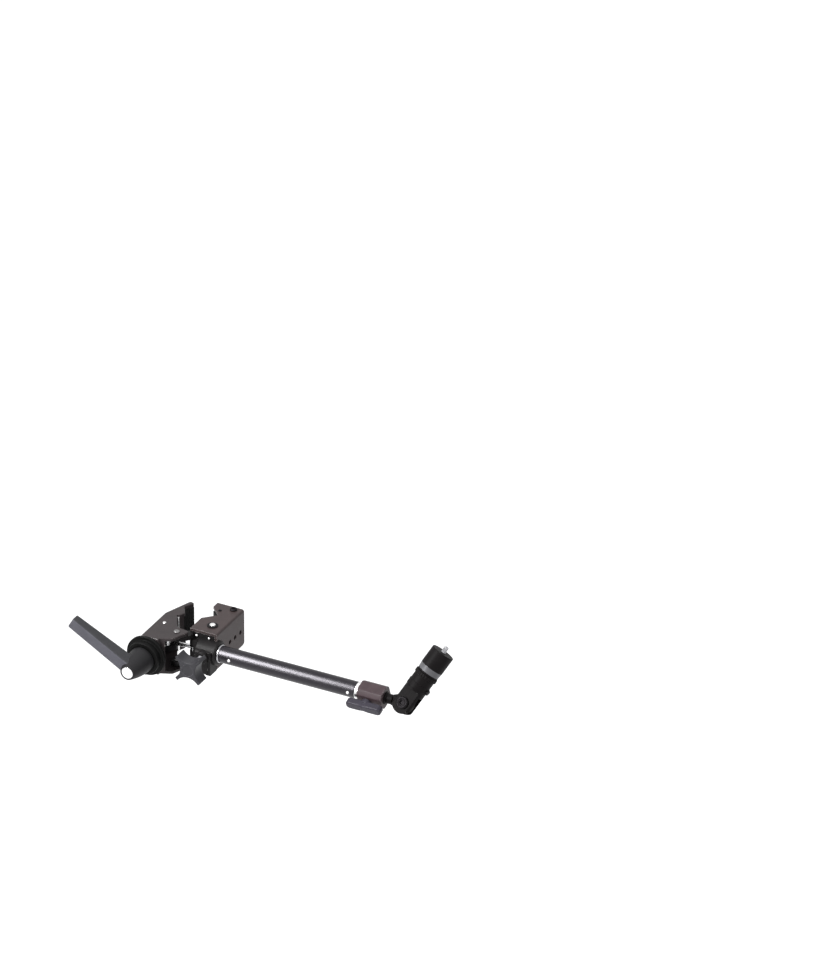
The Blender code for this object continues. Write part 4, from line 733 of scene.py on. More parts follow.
def coating(name, slot, colour, roughness, grain, depth, wear_and_edge_highlight=0.0, metallic=0.0, gloss=0.25, rubbed_and_lit_edges=None):
    """Paint or anodising: cloudy tint, fine grain, and pale bare metal where edges have scuffed through, which is
    also a painted edge highlight.

    rubbed is a range of Y over which the edges go from coated to bare."""
    surface = Surface(name, slot, metallic, gloss)
    cloud = surface.noise(*COAT_CLOUD)
    tint = surface.drift(cloud, colour, *COAT_TINTS)
    fine = surface.noise(grain, detail=2.0)
    rough = surface.uneven(cloud, fine, roughness - SMOOTHER, roughness + ROUGHER)
    if wear_and_edge_highlight:
        patches = surface.noise(*WEAR_CLOUD, rough=0.65)
        patches = surface.span(patches, WEAR_RANGE[0] - wear_and_edge_highlight, WEAR_RANGE[1] - wear_and_edge_highlight)
        if rubbed_and_lit_edges:
            patches = surface.maths("MAXIMUM", patches, surface.span(surface.place_along("Y"), *rubbed_and_lit_edges))
        # Bare, pale edges in patches: partly scuffed paint, partly a painted edge highlight
        worn_and_lit = surface.maths("MULTIPLY", surface.edges(COAT_EDGE_WIDTH), patches)
        tint = surface.mix(worn_and_lit, tint, BARE_AND_LIT_EDGE)
        rough = surface.maths("SUBTRACT", rough, surface.maths("MULTIPLY", worn_and_lit, BARE_SMOOTHER))
    surface.bump(fine, depth)
    return surface.finish(tint, rough)


def plated(name, slot, colour, roughness, stretch=UNSTRETCHED):
    """Bright or plain metal with faint brush marks and handling stains."""
    surface = Surface(name, slot, 1.0)
    stain = surface.noise(*STAINS)
    brushed = surface.noise(*BRUSH_MARKS, stretch)
    tint = surface.mix(surface.span(stain, *STAIN_RANGE), colour, lighter(colour, STAIN_TINT))
    both = surface.maths("ADD", stain, brushed)
    rough = surface.span(both, *METAL_SUM_RANGE, roughness, roughness + METAL_ROUGHER)
    surface.bump(brushed, BRUSH_DEPTH)
    return surface.finish(tint, rough)


def moulded(name, slot, colour, roughness, grain, depth, edge_rub_and_highlight=0.0, specks=0.0, gloss=0.3, shine=3.2):
    """Moulded plastic: fine spark-eroded grain, faint flow clouds, lighter scuffed edges that are also a painted
    edge highlight.
    """
    surface = Surface(name, slot, gloss=gloss)
    cloud = surface.noise(*PLASTIC_CLOUD)
    fine = surface.noise(grain, detail=1.0)
    tint = surface.drift(cloud, colour, *PLASTIC_TINTS)
    if edge_rub_and_highlight:
        patches = surface.span(surface.noise(*RUB_CLOUD), *RUB_RANGE)
        strength = surface.maths("MULTIPLY", patches, edge_rub_and_highlight)
        # Lighter edges in patches: partly scuffed plastic, partly a painted edge highlight
        rubbed_and_lit_edges = surface.maths("MULTIPLY", surface.edges(PLASTIC_EDGE_WIDTH), strength)
        tint = surface.mix(rubbed_and_lit_edges, tint, lighter(colour, shine))
    if specks:
        dust = surface.span(surface.noise(*SPECKS), *SPECK_RANGE, 0.0, specks)
        tint = surface.mix(dust, tint, DUST_GREY)
    rough = surface.uneven(cloud, fine, roughness - SMOOTHER, roughness + ROUGHER)
    surface.bump(fine, depth)
    return surface.finish(tint, rough)


def rubber(name, slot, colour):
    """Matt rubber or lining with dust in patches."""
    surface = Surface(name, slot, gloss=0.2)
    fine = surface.noise(*RUBBER_GRAIN)
    dust = surface.span(surface.noise(*RUBBER_DUST), *DUST_RANGE)
    tint = surface.mix(dust, colour, lighter(colour, DUST_TINT))
    surface.bump(fine, RUBBER_DEPTH)
    return surface.finish(tint, surface.span(fine, *CLOUD_RANGE, *RUBBER_ROUGHNESS))


def tube_finish():
    """Black anodised tube with long drawn lines and faint scratches, which spread its highlight across."""
    surface = Surface("tube anodising", "tube_finish", gloss=0.38)
    surface.shader.inputs["Specular Tint"].default_value = TUBE_SHEEN
    surface.shader.inputs["Anisotropic"].default_value = TUBE_ANISOTROPY
    about_axis = surface.tree.nodes.new("ShaderNodeTangent")
    about_axis.direction_type = "RADIAL"
    about_axis.axis = "X"
    surface.feed(surface.shader.inputs["Tangent"], about_axis.outputs["Tangent"])
    lines = surface.noise(*DRAWN_LINES, DRAWN_STRETCH)
    cloud = surface.noise(*TUBE_CLOUD)
    tint = surface.drift(cloud, TUBE_BLACK, *TUBE_TINTS)
    scratches = surface.noise(*SCRATCHES, SCRATCH_STRETCH)
    scratched = surface.span(scratches, *SPECK_RANGE, 0.0, SCRATCH_STRENGTH)
    tint = surface.mix(scratched, tint, SCRATCH_GREY)
    surface.bump(lines, BRUSH_DEPTH)
    return surface.finish(tint, surface.uneven(lines, cloud, *TUBE_ROUGHNESS))


# Finishes of the metal pieces

# The channel's front edges are bare: Y where the paint starts to go, and Y where it is gone
FRONT_RUB = (-0.0424, -0.0430)

CHANNEL_PAINT = coating(
    "channel paint", "channel_paint", (0.049, 0.035, 0.035),
    roughness=0.42, grain=0.0007, depth=0.00003, wear_and_edge_highlight=0.10, rubbed_and_lit_edges=FRONT_RUB,
)
CASTING = coating(
    "black casting", "black_casting", (0.011, 0.010, 0.0105),
    roughness=0.45, grain=0.0009, depth=0.00005, wear_and_edge_highlight=0.03, gloss=0.15,
)
JAW_PAINT = coating(
    "jaw paint", "jaw_paint", (0.036, 0.029, 0.030),
    roughness=0.42, grain=0.0009, depth=0.00004, wear_and_edge_highlight=0.06,
)
# The block's many pale edges are mostly a painted highlight along its edges
BLOCK_PAINT = coating(
    "block paint", "block_paint", (0.063, 0.043, 0.048),
    roughness=0.40, grain=0.0008, depth=0.00003, wear_and_edge_highlight=0.18,
)
HEAD_FINISH = coating(
    "head anodising", "head_finish", (0.0065, 0.0055, 0.0058),
    roughness=0.52, grain=0.0005, depth=0.00002, wear_and_edge_highlight=0.01, gloss=0.08,
)
# A lighter grey on the barrel's cone, partly a turned band and partly a painted highlight where the cone catches
# light
BAND_AND_HIGHLIGHT = coating(
    "turned band and painted highlight", "head_finish", (0.120, 0.120, 0.128),
    roughness=0.36, grain=0.0005, depth=0.00002, metallic=0.3,
)
TUBE = tube_finish()
BRIGHT = plated("bright steel", "bright_steel", (0.88, 0.87, 0.87), roughness=0.24)
ROD_STEEL = plated("drawn rod", "bright_steel", (0.74, 0.74, 0.75), roughness=0.18, stretch=ROD_STRETCH)
STEEL = plated("turned steel", "steel", (0.50, 0.50, 0.52), roughness=0.28)
DARK_STEEL = plated("blackened steel", "dark_steel", (0.018, 0.0165, 0.018), roughness=0.46)
DULL_STEEL = plated("dull steel", "steel", (0.24, 0.235, 0.235), roughness=0.46)
BRONZE = plated("bronze", "bearing_bronze", (0.55, 0.36, 0.17), roughness=0.32)
CAP_METAL = plated("cap metal", "cap_metal", (0.88, 0.88, 0.89), roughness=0.24)


# Finishes of the plastic and rubber pieces

DISC = moulded(
    "disc plastic", "disc_plastic", (0.005, 0.005, 0.005),
    roughness=0.50, grain=0.0005, depth=0.00002, edge_rub_and_highlight=0.2, gloss=0.10,
)
# The lever's plastic on its front faces; its lighter edges are partly scuffs, partly a painted edge highlight
LEVER_PLASTIC = moulded(
    "lever plastic", "lever_plastic", (0.088, 0.087, 0.103),
    roughness=0.45, grain=0.0005, depth=0.00003, edge_rub_and_highlight=0.8, specks=0.25, gloss=0.25,
)
# A darker copy of the lever's plastic on the bar's faces that turn from the front: painted shade
BAR_SIDE_PAINTED_SHADE = moulded(
    "bar side painted shade", "lever_plastic", (0.044, 0.044, 0.048),
    roughness=0.50, grain=0.0005, depth=0.00004, edge_rub_and_highlight=0.4, specks=0.1, gloss=0.2,
)
# A darker copy of the lever's plastic on the hub of the same moulding: painted shade
HUB_PAINTED_SHADE = moulded(
    "hub painted shade", "lever_plastic", (0.015, 0.0145, 0.016),
    roughness=0.55, grain=0.0005, depth=0.00003, edge_rub_and_highlight=0.2, specks=0.1, gloss=0.2,
)
# The knob's bright edges, five times its colour, are mostly a painted highlight along its scooped rims
KNOB_PLASTIC = moulded(
    "knob plastic", "knob_plastic", (0.036, 0.035, 0.040),
    roughness=0.42, grain=0.0006, depth=0.00003, edge_rub_and_highlight=1.0, specks=0.2, gloss=0.25, shine=5.0,
)
T_PLASTIC = moulded(
    "t knob plastic", "t_knob_plastic", (0.033, 0.029, 0.042),
    roughness=0.42, grain=0.0006, depth=0.00003, edge_rub_and_highlight=0.4, specks=0.2,
)
RUBBER = rubber("pad rubber", "pad_rubber", (0.012, 0.012, 0.012))
LINING = rubber("friction lining", "friction_lining", (0.20, 0.16, 0.12))


# Clamp


def clamp_pieces():
    """The fixed jaw's channel, block, pads, casting and fasteners."""
    refined("jaw_channel", CHANNEL_PAINT, SHEET_EDGE)
    refined("v_block", CASTING, MACHINED_EDGE)
    refined("socket_casting", CASTING, CAST_EDGE)
    refined("fixed_pad_far", RUBBER, PAD_EDGE)
    refined("fixed_pad_near", RUBBER, PAD_EDGE)
    domed_pin("channel_pin", BRIGHT)
    domed_pin("channel_rivet", DARK_STEEL)
    pin_washer()
    refined("channel_bolt", DARK_STEEL, BOLT_EDGE)
    refined("channel_nut", DARK_STEEL, BOLT_EDGE)
    for number in (1, 2, 3):
        refined(f"pad_screw_{number}", DARK_STEEL, FINE_EDGE)
    domed_pin("hinge_pin_upper", DULL_STEEL)
    domed_pin("hinge_pin_lower", DULL_STEEL, head_down=True)
    for node in ("front_screw_left", "front_screw_right"):
        cross_screw(node)
    repaint("tie_rod_fixed_pin", BRIGHT)


def headed(low, seat, shank, head):
    """First corners of a headed pin's profile: its foot, its shank and the underside of its head."""
    return [(0, low, 0), (shank, low, LIGHT), (shank, seat, 0), (head, seat, HAIR)]


def domed_pin(node, finish, head_down=False):
    """Upright pin with a broad domed head and a small flat in its middle."""
    placed = upright(node)
    low, high, head = extent(node, placed)
    if head_down:
        low, high = -high, -low
        placed = placed @ Matrix.Rotation(math.pi, 4, "X")
    shank, rise, rim = PIN_SIZES[node]
    levels = headed(low, high - rise, shank, head)
    levels.append((head, high - rise * (1 - rim), CRISP))
    levels.append((head * PIN_SHOULDER, high - rise * PIN_SHOULDER_DROP, BROAD))
    levels += [(head * PIN_FLAT, high, BLUNT), (0, high, 0)]
    piece(node, disc_stack(levels, SMALL_SIDES), placed, finish)


def pin_washer():
    """Washer under the channel pin's head, with rounded edges."""
    placed = upright("channel_pin_washer")
    low, high, radius = extent("channel_pin_washer", placed)
    edge = (high - low) * PIN_WASHER_ROUND
    corners = [(PIN_WASHER_BORE, low, 0), (radius, low, edge), (radius, high, edge)]
    corners.append((PIN_WASHER_BORE, high, edge / 2))
    piece("channel_pin_washer", turned(rounded(corners, steps=3)), placed, DARK_STEEL)


def cross_screw(node):
    """Small bright dome-headed screw with a cross recess."""
    centre = middle(node)
    placed = facing_front((centre.x, 0, centre.z))
    low, high, head = extent(node, placed)
    levels = headed(low, high - SCREW_RISE, SCREW_SHANK, head)
    levels.append((head, high - SCREW_DOME, EASED))
    levels.append((head * SCREW_SHOULDER, high - SCREW_SHOULDER_DROP, SCREW_SHOULDER_ROUND))
    levels.append((0, high, 0))
    made = piece(node, disc_stack(levels, SMALL_SIDES), placed, BRIGHT)
    reach = head * RECESS_REACH
    half = RECESS_HALF_WIDTH
    for turn in (RECESS_TURN, RECESS_TURN + math.pi / 2):
        bar = [(-reach, -half), (reach, -half), (reach, half), (-reach, half)]
        outline = [rotated(x, y, turn) for x, y in bar]
        cut(made, prism(outline, high - RECESS_DEPTH, high + CUT_PAST), placed)


def jaw_pieces():
    """The moving jaw: housing, ribbed pads, pins and bush."""
    refined("jaw_housing", JAW_PAINT, CAST_EDGE)
    refined("jaw_pad_far", RUBBER, FINE_EDGE)
    refined("jaw_pad_near", RUBBER, FINE_EDGE)
    domed_pin("housing_rivet", BRIGHT)
    repaint("pad_pin", BRIGHT)
    repaint("spindle_bush", BRONZE)


def drive_pieces():
    """Spindle, ratchet spring, wedge and tie rod."""
    repaint("spindle", STEEL)
    repaint("spindle_clip", STEEL)
    ratchet_spring()
    refined("wedge", DARK_STEEL, BAR_STOCK_EDGE)
    refined("tie_rod", ROD_STEEL, BAR_STOCK_EDGE)
    repaint("tie_rod_free_pin", STEEL)


def ratchet_spring():
    """Coil spring between the hub and the cap, drawn at one length."""
    low, high, outer = extent("ratchet_spring", LEVER)
    wire = coil(outer - SPRING_WIRE, SPRING_WIRE, low + SPRING_WIRE, high - SPRING_WIRE, SPRING_TURNS)
    made = piece("ratchet_spring", wire, LEVER, STEEL)
    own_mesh(made)


# Lever


def thrust_disc():
    """Disc in two steps, with a shallow sunk face round its bore."""
    low, high, radius = extent("thrust_disc", LEVER)
    step = low + DISC_STEP
    foot = step + INNER_DISC_FOOT_RISE
    sunk = high - DISC_SUNK_DEPTH
    corners = [(DISC_BORE, low, 0), (radius, low, DISC_RIM_ROUND), (radius, step, DISC_RIM_ROUND)]
    corners += [(INNER_DISC_RADIUS + INNER_DISC_FOOT, step, LIGHT), (INNER_DISC_RADIUS, foot, SOFT)]
    corners += [(INNER_DISC_RADIUS, high, BROAD), (DISC_LIP_RADIUS, high, LIGHT)]
    corners += [(DISC_SUNK_RADIUS, sunk, CRISP), (DISC_BORE, sunk, 0)]
    piece("thrust_disc", turned(rounded(corners)), LEVER, DISC)


def lever_cap():
    """Bright round cap with a slight crown."""
    low, high, radius = extent("lever_cap", LEVER)
    levels = [(0, low, 0), (radius, low, CRISP), (radius, high - CAP_CROWN, BLUNT)]
    levels.append((radius * CAP_SHOULDER, high - CAP_CROWN * CAP_SHOULDER_DROP, CROWNED))
    levels.append((0, high, 0))
    piece("lever_cap", disc_stack(levels), LEVER, CAP_METAL)


def lever_handle():
    """Domed hub and flat bar, with the hub open for the core at its back and for the cap at its nose."""
    low, high, _ = extent("lever_handle", LEVER)
    swell = HUB_ROOT_RADIUS - HUB_NOSE_RADIUS
    swell_low = low + HUB_BACK_LAND
    swell_high = high - HUB_NOSE_LAND
    edge_in, edge_along = HUB_EDGE

    def hub_radius(height):
        share = min(1.0, max(0.0, (height - swell_low) / (swell_high - swell_low)))
        return HUB_ROOT_RADIUS - swell * share**HUB_SWELL_POWER

    # Lever plastic on the front faces; a darker copy on the hub and on bar faces that turn from the front, as
    # painted shade
    def finish_and_painted_light_of(centre, normal):
        if math.hypot(centre.x, centre.y) < hub_radius(centre.z) + HUB_TOLERANCE:
            return 1
        return 2 if normal.z < BAR_FACE_LEAN else 0

    profile = [(0, low), (HUB_ROOT_RADIUS - HUB_BACK_INSET, low)]
    profile.append((HUB_ROOT_RADIUS - edge_in, low + edge_along))
    for step in range(1, HUB_STEPS + 1):
        height = swell_low + (swell_high - swell_low) * step / HUB_STEPS
        profile.append((hub_radius(height), height))
    profile.append((HUB_NOSE_RADIUS - edge_in, high - edge_along))
    profile += [(HUB_NOSE_RADIUS - HUB_NOSE_INSET, high), (0, high)]
    made = piece("lever_handle", turned(profile), LEVER, LEVER_PLASTIC)
    along = LEVER.to_3x3() @ Vector((*around(1.0, LEVER_ANGLE), 0))
    bar = frame_on(LEVER.translation, LEVER.to_3x3() @ Z, along)
    join(made, lever_bar(high - BAR_SETBACK), bar)
    core = drum(CORE_HOLE_RADIUS, low - 2 * CUT_PAST, low + CORE_HOLE_DEPTH, CRISP, SMALL_SIDES)
    cut(made, core, LEVER)
    cut(made, drum(CAP_SCREW_HOLE, low, high + CUT_PAST, CRISP, SMALL_SIDES), LEVER)
    chamber_low = high - CAP_CHAMBER_DEPTH
    cut(made, drum(CAP_CHAMBER_RADIUS, chamber_low, high + 2 * CUT_PAST, LIGHT), LEVER)
    flatten_shading(made)
    made.data.materials.append(HUB_PAINTED_SHADE[0])
    made.data.materials.append(BAR_SIDE_PAINTED_SHADE[0])
    paint_faces(made, LEVER, finish_and_painted_light_of)


def lever_bar(front):
    """Tapered bar along local X, with its outer face at height front and all its edges rounded."""
    straight = BAR_LENGTH - BAR_END_ROUND
    sections = [(step / BAR_STATIONS * straight, 0.0) for step in range(BAR_STATIONS)]
    for step in range(BAR_END_STEPS + 1):
        angle = math.pi / 2 * step / BAR_END_STEPS
        along = BAR_LENGTH - BAR_END_ROUND * (1 - math.sin(angle))
        sections.append((along, BAR_END_ROUND * (1 - math.cos(angle))))
    bm = bmesh.new()
    rings = []
    for along, inset in sections:
        share = along / BAR_LENGTH
        width = BAR_WIDTH + (BAR_TIP_WIDTH - BAR_WIDTH) * share - 2 * inset
        depth = BAR_ROOT_DEPTH + (BAR_TIP_DEPTH - BAR_ROOT_DEPTH) * share - 2 * inset
        low = -BAR_DROP - width / 2
        top = front - inset
        corners = [(low, top - depth), (low + width, top - depth), (low + width, top), (low, top)]
        edge = max(BAR_TIP_EDGE, BAR_EDGE - inset)
        outline = rounded([(x, y, edge) for x, y in corners])
        rings.append([bm.verts.new((along, across, height)) for across, height in outline])
    skin(bm, rings)
    return bm


# Knobs


def star_outline():
    """Four lobes between four scooped arcs."""
    corner_x, corner_y = around(STAR_RADIUS, math.pi / 4 - STAR_LOBE_HALF)
    scoop = ((corner_x - STAR_WAIST) ** 2 + corner_y**2) / (2 * (corner_x - STAR_WAIST))
    half = math.asin(corner_y / scoop)
    outline = []
    for quarter in range(4):
        for step in range(STAR_SCOOP_STEPS + 1):
            x, y = around(scoop, math.pi + half - 2 * half * step / STAR_SCOOP_STEPS)
            outline.append(rotated(x + (STAR_WAIST + scoop), y, quarter * math.pi / 2))
    return outline


def star_knob():
    """Star knob with a shallow dish in its face, its screw, and the pad that the screw presses."""
    low, high, _ = extent("star_knob", STAR)
    back = high - STAR_THICKNESS
    made = piece("star_knob", prism(star_outline(), back, high), STAR, KNOB_PLASTIC)
    round_edges(made, STAR_EDGE, angle=25, segments=4)
    inner = back + STAR_HUB_OVERLAP
    hub = [(0, low, 0), (STAR_HUB_RADIUS, low, BLUNT), (STAR_HUB_RADIUS, inner, 0), (0, inner, 0)]
    join(made, disc_stack(hub, SMALL_SIDES), STAR)
    cut(made, drum(STAR_DISH_RADIUS, high - STAR_DISH_DEPTH, high + CUT_PAST, EASED), STAR)
    cover = high - STAR_SCREW_COVER
    cut(made, drum(STAR_BORE, low - CUT_PAST, cover, CRISP, SMALL_SIDES), STAR)
    flatten_shading(made)
    low, _, radius = extent("star_knob_screw", STAR)
    screw = threaded(radius, low, cover - STAR_SCREW_GAP, STAR_PITCH, STAR_THREAD_DEPTH)
    piece("star_knob_screw", screw, STAR, STEEL)
    repaint("stud_pad", BRONZE)


def t_outline():
    """Two rounded wings either side of a slimmer middle."""
    end = T_LENGTH / 2
    wide = T_WIDTH / 2
    upper = [(end, wide * T_END_SHARE, T_CORNER_ROUND), (end - T_WING_TAPER, wide, T_WING_ROUND)]
    upper += [(T_WING_INNER, wide, T_CORNER_ROUND), (0, T_WAIST / 2, T_CORNER_ROUND)]
    corners = upper + [(-x, y, radius) for x, y, radius in reversed(upper[:3])]
    corners += [(-x, -y, radius) for x, y, radius in corners]
    return rounded(corners, steps=6)


def t_knob():
    """T-knob with its boss, its screw, and the pad that the screw presses."""
    low, high, _ = extent("t_knob", T_KNOB)
    back = high - T_DEPTH
    made = piece("t_knob", prism(t_outline(), back, high), T_KNOB, T_PLASTIC)
    round_edges(made, T_EDGE, angle=50, segments=5)
    inner = back + T_BOSS_OVERLAP
    boss = [(0, low, 0), (T_BOSS_RADIUS, low, EASED), (T_BOSS_RADIUS, inner, 0), (0, inner, 0)]
    join(made, disc_stack(boss, SMALL_SIDES), T_KNOB)
    cut(made, drum(T_BORE, low - CUT_PAST, high - T_SCREW_COVER, CRISP, SMALL_SIDES), T_KNOB)
    flatten_shading(made)
    low, high, radius = extent("t_knob_screw", T_KNOB)
    piece("t_knob_screw", threaded(radius, low, high, T_PITCH, T_THREAD_DEPTH), T_KNOB, STEEL)
    repaint("head_pad", BRONZE)


# Arm


def arm_pieces():
    """Stud, tube, cross pins, collar and socket block."""
    refined("clamp_stud", STEEL, BOLT_EDGE)
    arm_tube()
    for node in ("cross_pin_near", "cross_pin_far"):
        cross_pin(node)
    refined("end_collar", BRIGHT, BAR_STOCK_EDGE)
    refined("socket_block", BLOCK_PAINT, CAST_EDGE)


def arm_tube():
    """Tube with a hole through it for each cross pin."""
    low, high, radius = extent("arm_tube", ARM)
    bore = radius - TUBE_WALL
    corners = [(bore, low, CRISP), (radius, low, EASED)]
    corners += [(radius, high, EASED), (bore, high, CRISP)]
    tube = piece("arm_tube", turned(rounded(corners, steps=3)), ARM, TUBE)
    for place in (low + NEAR_PIN_INSET, high - FAR_PIN_INSET):
        hole = drum(PIN_HOLE_RADIUS, -2 * radius, 2 * radius, CRISP, SMALL_SIDES)
        cut(tube, hole, facing_front(ARM @ Vector((0, 0, place))))
    flatten_shading(tube)


def cross_pin(node):
    """Pin that is domed and bevelled alike at both of its ends."""
    placed = facing_front(middle(node))
    _, reach, radius = extent(node, placed)
    levels = [(0, -reach, 0), (radius * CROSS_PIN_FLAT, CROSS_PIN_DOME - reach, SOFT)]
    levels.append((radius, CROSS_PIN_BEVEL - reach, SOFT))
    levels += [(r, -height, edge) for r, height, edge in reversed(levels)]
    piece(node, disc_stack(levels, SMALL_SIDES), placed, BRIGHT)


# Head


def head_pieces():
    """Spigot, fork, pivot bolt and what turns on the fork."""
    refined("head_spigot", HEAD_FINISH, MACHINED_EDGE)
    repaint("friction_washer_front", LINING)
    repaint("friction_washer_back", LINING)
    refined("fork_post", HEAD_FINISH, MACHINED_EDGE)
    refined("pivot_bolt", DARK_STEEL, PIVOT_HEAD_EDGE)
    refined("pivot_nut", STEEL, BAR_STOCK_EDGE)
    refined("pan_lock_screw", DARK_STEEL, BOLT_EDGE)
    repaint("swivel_bolt", STEEL)
    lock_ring()
    swivel_barrel()
    low, high, radius = extent("top_stud", POST)
    piece("top_stud", threaded(radius, low, high, STUD_PITCH, STUD_THREAD_DEPTH), POST, STEEL)


def lock_ring():
    """Ring with finger notches round its rim, and a low lip on each face that meets its neighbour."""
    low, high, radius = extent("lock_ring", POST)

    def notched(r, angle, _):
        wave = 0.5 - 0.5 * math.cos(RING_NOTCHES * angle)
        return r - RING_NOTCH_DEPTH * wave**3 if r > radius * RING_RIM_SHARE else r

    corners = [(BARREL_BORE_RADIUS, low - RING_LIP, 0), (RING_LIP_RADIUS, low - RING_LIP, 0)]
    corners += [(RING_LIP_RADIUS, low, 0), (radius, low, SOFT), (radius, high, SOFT)]
    corners += [(RING_LIP_RADIUS, high, 0), (RING_LIP_RADIUS, high + RING_LIP, 0)]
    corners.append((BARREL_BORE_RADIUS, high + RING_LIP, 0))
    bm = turned(rounded(corners, steps=4), RING_NOTCH_SIDES * RING_NOTCHES, notched)
    piece("lock_ring", bm, POST, HEAD_FINISH)


def swivel_barrel():
    """Barrel with a turned shoulder and cone below, and the stud's hole in its flat top."""
    low, high, radius = extent("swivel_barrel", POST)
    bore_top = low + BARREL_BORE_DEPTH
    cone_low = low + BARREL_SHOULDER_HEIGHT
    cone_high = cone_low + BARREL_CONE_HEIGHT
    hole_low = high - STUD_HOLE_DEPTH
    levels = [(0, bore_top, 0), (BARREL_BORE_RADIUS, bore_top, 0), (BARREL_BORE_RADIUS, low, CRISP)]
    levels += [(BARREL_SHOULDER_RADIUS, low, EASED), (BARREL_SHOULDER_RADIUS, cone_low, LIGHT)]
    levels += [(radius, cone_high, EASED), (radius, high, SOFT), (STUD_HOLE_RADIUS, high, CRISP)]
    levels += [(STUD_HOLE_RADIUS, hole_low, 0), (0, hole_low, 0)]
    made = piece("swivel_barrel", disc_stack(levels), POST, HEAD_FINISH)

    # The cone's outer faces take the lighter band, partly a painted highlight
    def finish_and_painted_light_of(centre, _):
        outside = math.hypot(centre.x, centre.y) > BARREL_SHOULDER_RADIUS - BAND_TOLERANCE
        return 1 if outside and cone_low < centre.z < cone_high else 0

    made.data.materials.append(BAND_AND_HIGHLIGHT[0])
    paint_faces(made, POST, finish_and_painted_light_of)


# Camera, floor and light

PHOTO_AZIMUTH = 27.87
PHOTO_ELEVATION = 29.62
PHOTO_WIDTH = 840
PHOTO_HEIGHT = 960
METRES_PER_PIXEL = 0.001219
ORIGIN_ON_PHOTO = (200.0, 627.9)
CAMERA_DISTANCE = 20.0
SENSOR_HEIGHT = 36.0
FLOOR_BELOW = 0.85
FLOOR_SIZE = 60.0
FLOOR_GREY = (0.60, 0.60, 0.60, 1.0)
FLOOR_ROUGHNESS = 0.9
FLOOR_GLOW = 0.75
SKY_COLOUR = (0.95, 0.96, 1.0, 1.0)
SKY_STRENGTH = 0.28
WHITE = (1.0, 1.0, 1.0, 1.0)

# Lamps: azimuth, elevation and distance; size along the arm and across it; power
LAMPS = {
    "key": ((-35.6, 40.0, 2.5), (0.26, 1.5), 75.0),
    "fill": ((55.0, 38.0, 5.0), (2.4, 2.4), 80.0),
    "back": ((190.0, 62.0, 5.0), (2.4, 2.4), 30.0),
}


def direction(azimuth, elevation):
    """From the object outwards: degrees from -Y towards +X, and degrees above the floor."""
    turn = math.radians(azimuth)
    rise = math.radians(elevation)
    return Vector((math.sin(turn) * math.cos(rise), -math.cos(turn) * math.cos(rise), math.sin(rise)))


def camera():
    """Long lens at the photograph's angle, moved sideways so that the frame's origin falls in its place."""
    turn = math.radians(PHOTO_AZIMUTH)
    right = Vector((math.cos(turn), math.sin(turn), 0))
    back = direction(PHOTO_AZIMUTH, PHOTO_ELEVATION)
    up = back.cross(right)
    data = bpy.data.cameras.new("photo_camera")
    data.sensor_fit = "VERTICAL"
    data.sensor_height = SENSOR_HEIGHT
    data.lens = SENSOR_HEIGHT * CAMERA_DISTANCE / (METRES_PER_PIXEL * PHOTO_HEIGHT)
    data.clip_end = 4 * CAMERA_DISTANCE
    made = bpy.data.objects.new("photo_camera", data)
    aside = (ORIGIN_ON_PHOTO[0] - PHOTO_WIDTH / 2) * METRES_PER_PIXEL
    above = (PHOTO_HEIGHT / 2 - ORIGIN_ON_PHOTO[1]) * METRES_PER_PIXEL
    placed = Matrix((right, up, back)).transposed().to_4x4()
    placed.translation = back * CAMERA_DISTANCE - right * aside - up * above
    made.matrix_world = placed
    bpy.context.scene.collection.objects.link(made)
    bpy.context.scene.camera = made


def pale_to_the_camera(tree, shader, pale, output):
    """A paler tone for the camera, mirrors and glass, while the light on the object stays the same."""
    path = tree.nodes.new("ShaderNodeLightPath")
    seen = path.outputs["Is Camera Ray"]
    for ray in ("Is Glossy Ray", "Is Transmission Ray"):
        either = tree.nodes.new("ShaderNodeMath")
        either.operation = "MAXIMUM"
        tree.links.new(seen, either.inputs[0])
        tree.links.new(path.outputs[ray], either.inputs[1])
        seen = either.outputs[0]
    choice = tree.nodes.new("ShaderNodeMixShader")
    tree.links.new(seen, choice.inputs["Fac"])
    tree.links.new(shader.outputs[0], choice.inputs[1])
    tree.links.new(pale.outputs[0], choice.inputs[2])
    tree.links.new(choice.outputs[0], tree.nodes[output].inputs["Surface"])


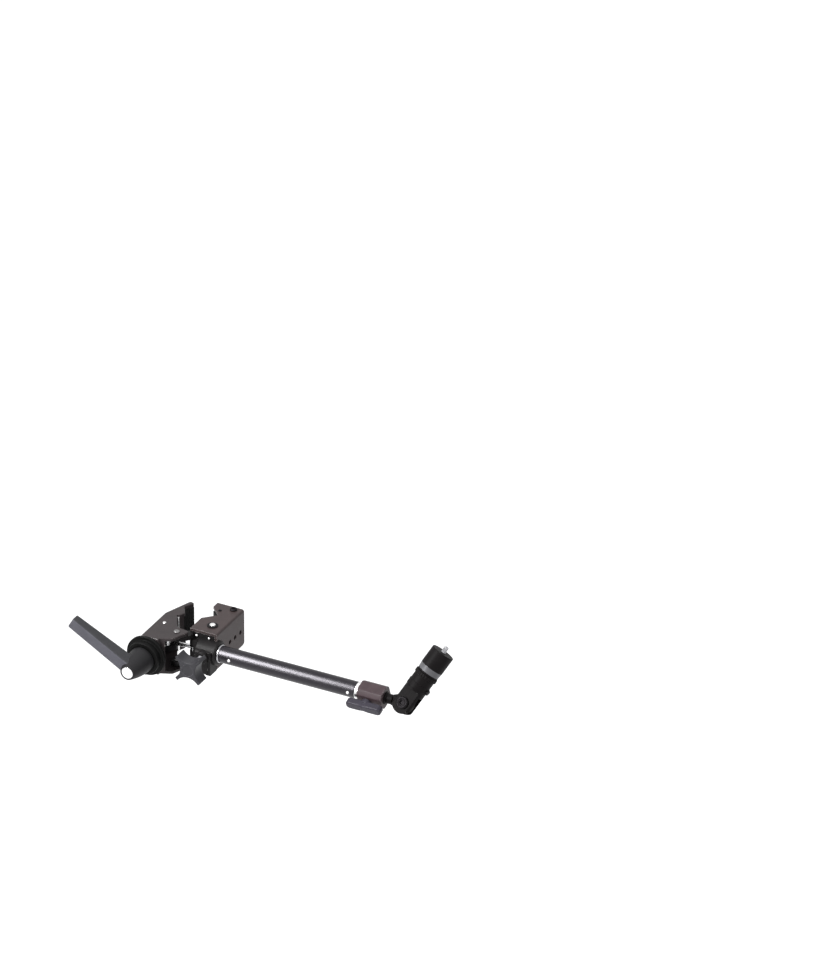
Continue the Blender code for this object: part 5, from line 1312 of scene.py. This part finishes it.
def sky():
    """Soft sky that looks white to the camera."""
    world = bpy.data.worlds.new("studio")
    world.use_nodes = True
    bpy.context.scene.world = world
    tree = world.node_tree
    soft = tree.nodes["Background"]
    soft.inputs["Color"].default_value = SKY_COLOUR
    soft.inputs["Strength"].default_value = SKY_STRENGTH
    white = tree.nodes.new("ShaderNodeBackground")
    white.inputs["Color"].default_value = WHITE
    pale_to_the_camera(tree, soft, white, "World Output")


def pale_floor():
    """Plain pale floor well below the object."""
    bm = bmesh.new()
    bmesh.ops.create_grid(bm, x_segments=2, y_segments=2, size=FLOOR_SIZE / 2)
    mesh = bpy.data.meshes.new("floor")
    bm.to_mesh(mesh)
    bm.free()
    floor = bpy.data.objects.new("floor", mesh)
    floor.location = (0, 0, cad_low.z - FLOOR_BELOW)
    bpy.context.scene.collection.objects.link(floor)
    paper = bpy.data.materials.new("pale floor")
    paper.use_nodes = True
    tree = paper.node_tree
    shader = tree.nodes["Principled BSDF"]
    shader.inputs["Base Color"].default_value = FLOOR_GREY
    shader.inputs["Roughness"].default_value = FLOOR_ROUGHNESS
    glow = tree.nodes.new("ShaderNodeEmission")
    glow.inputs["Strength"].default_value = FLOOR_GLOW
    added = tree.nodes.new("ShaderNodeAddShader")
    tree.links.new(shader.outputs[0], added.inputs[0])
    tree.links.new(glow.outputs[0], added.inputs[1])
    pale_to_the_camera(tree, shader, added, "Material Output")
    mesh.materials.append(paper)


def lamp(name, place, size, power):
    """Soft lamp aimed at the object's middle, with its width along the arm."""
    azimuth, elevation, distance = place
    towards = direction(azimuth, elevation)
    data = bpy.data.lights.new(name, "AREA")
    data.shape = "RECTANGLE"
    data.size, data.size_y = size
    data.energy = power
    made = bpy.data.objects.new(name, data)
    made.matrix_world = frame_on((cad_low + cad_high) / 2 + towards * distance, towards, X)
    bpy.context.scene.collection.objects.link(made)


camera()
sky()
pale_floor()
for name, settings in LAMPS.items():
    lamp(name, *settings)
clamp_pieces()
jaw_pieces()
drive_pieces()
thrust_disc()
lever_cap()
lever_handle()
star_knob()
t_knob()
arm_pieces()
head_pieces()

bpy.context.scene.view_settings.view_transform = "Standard"
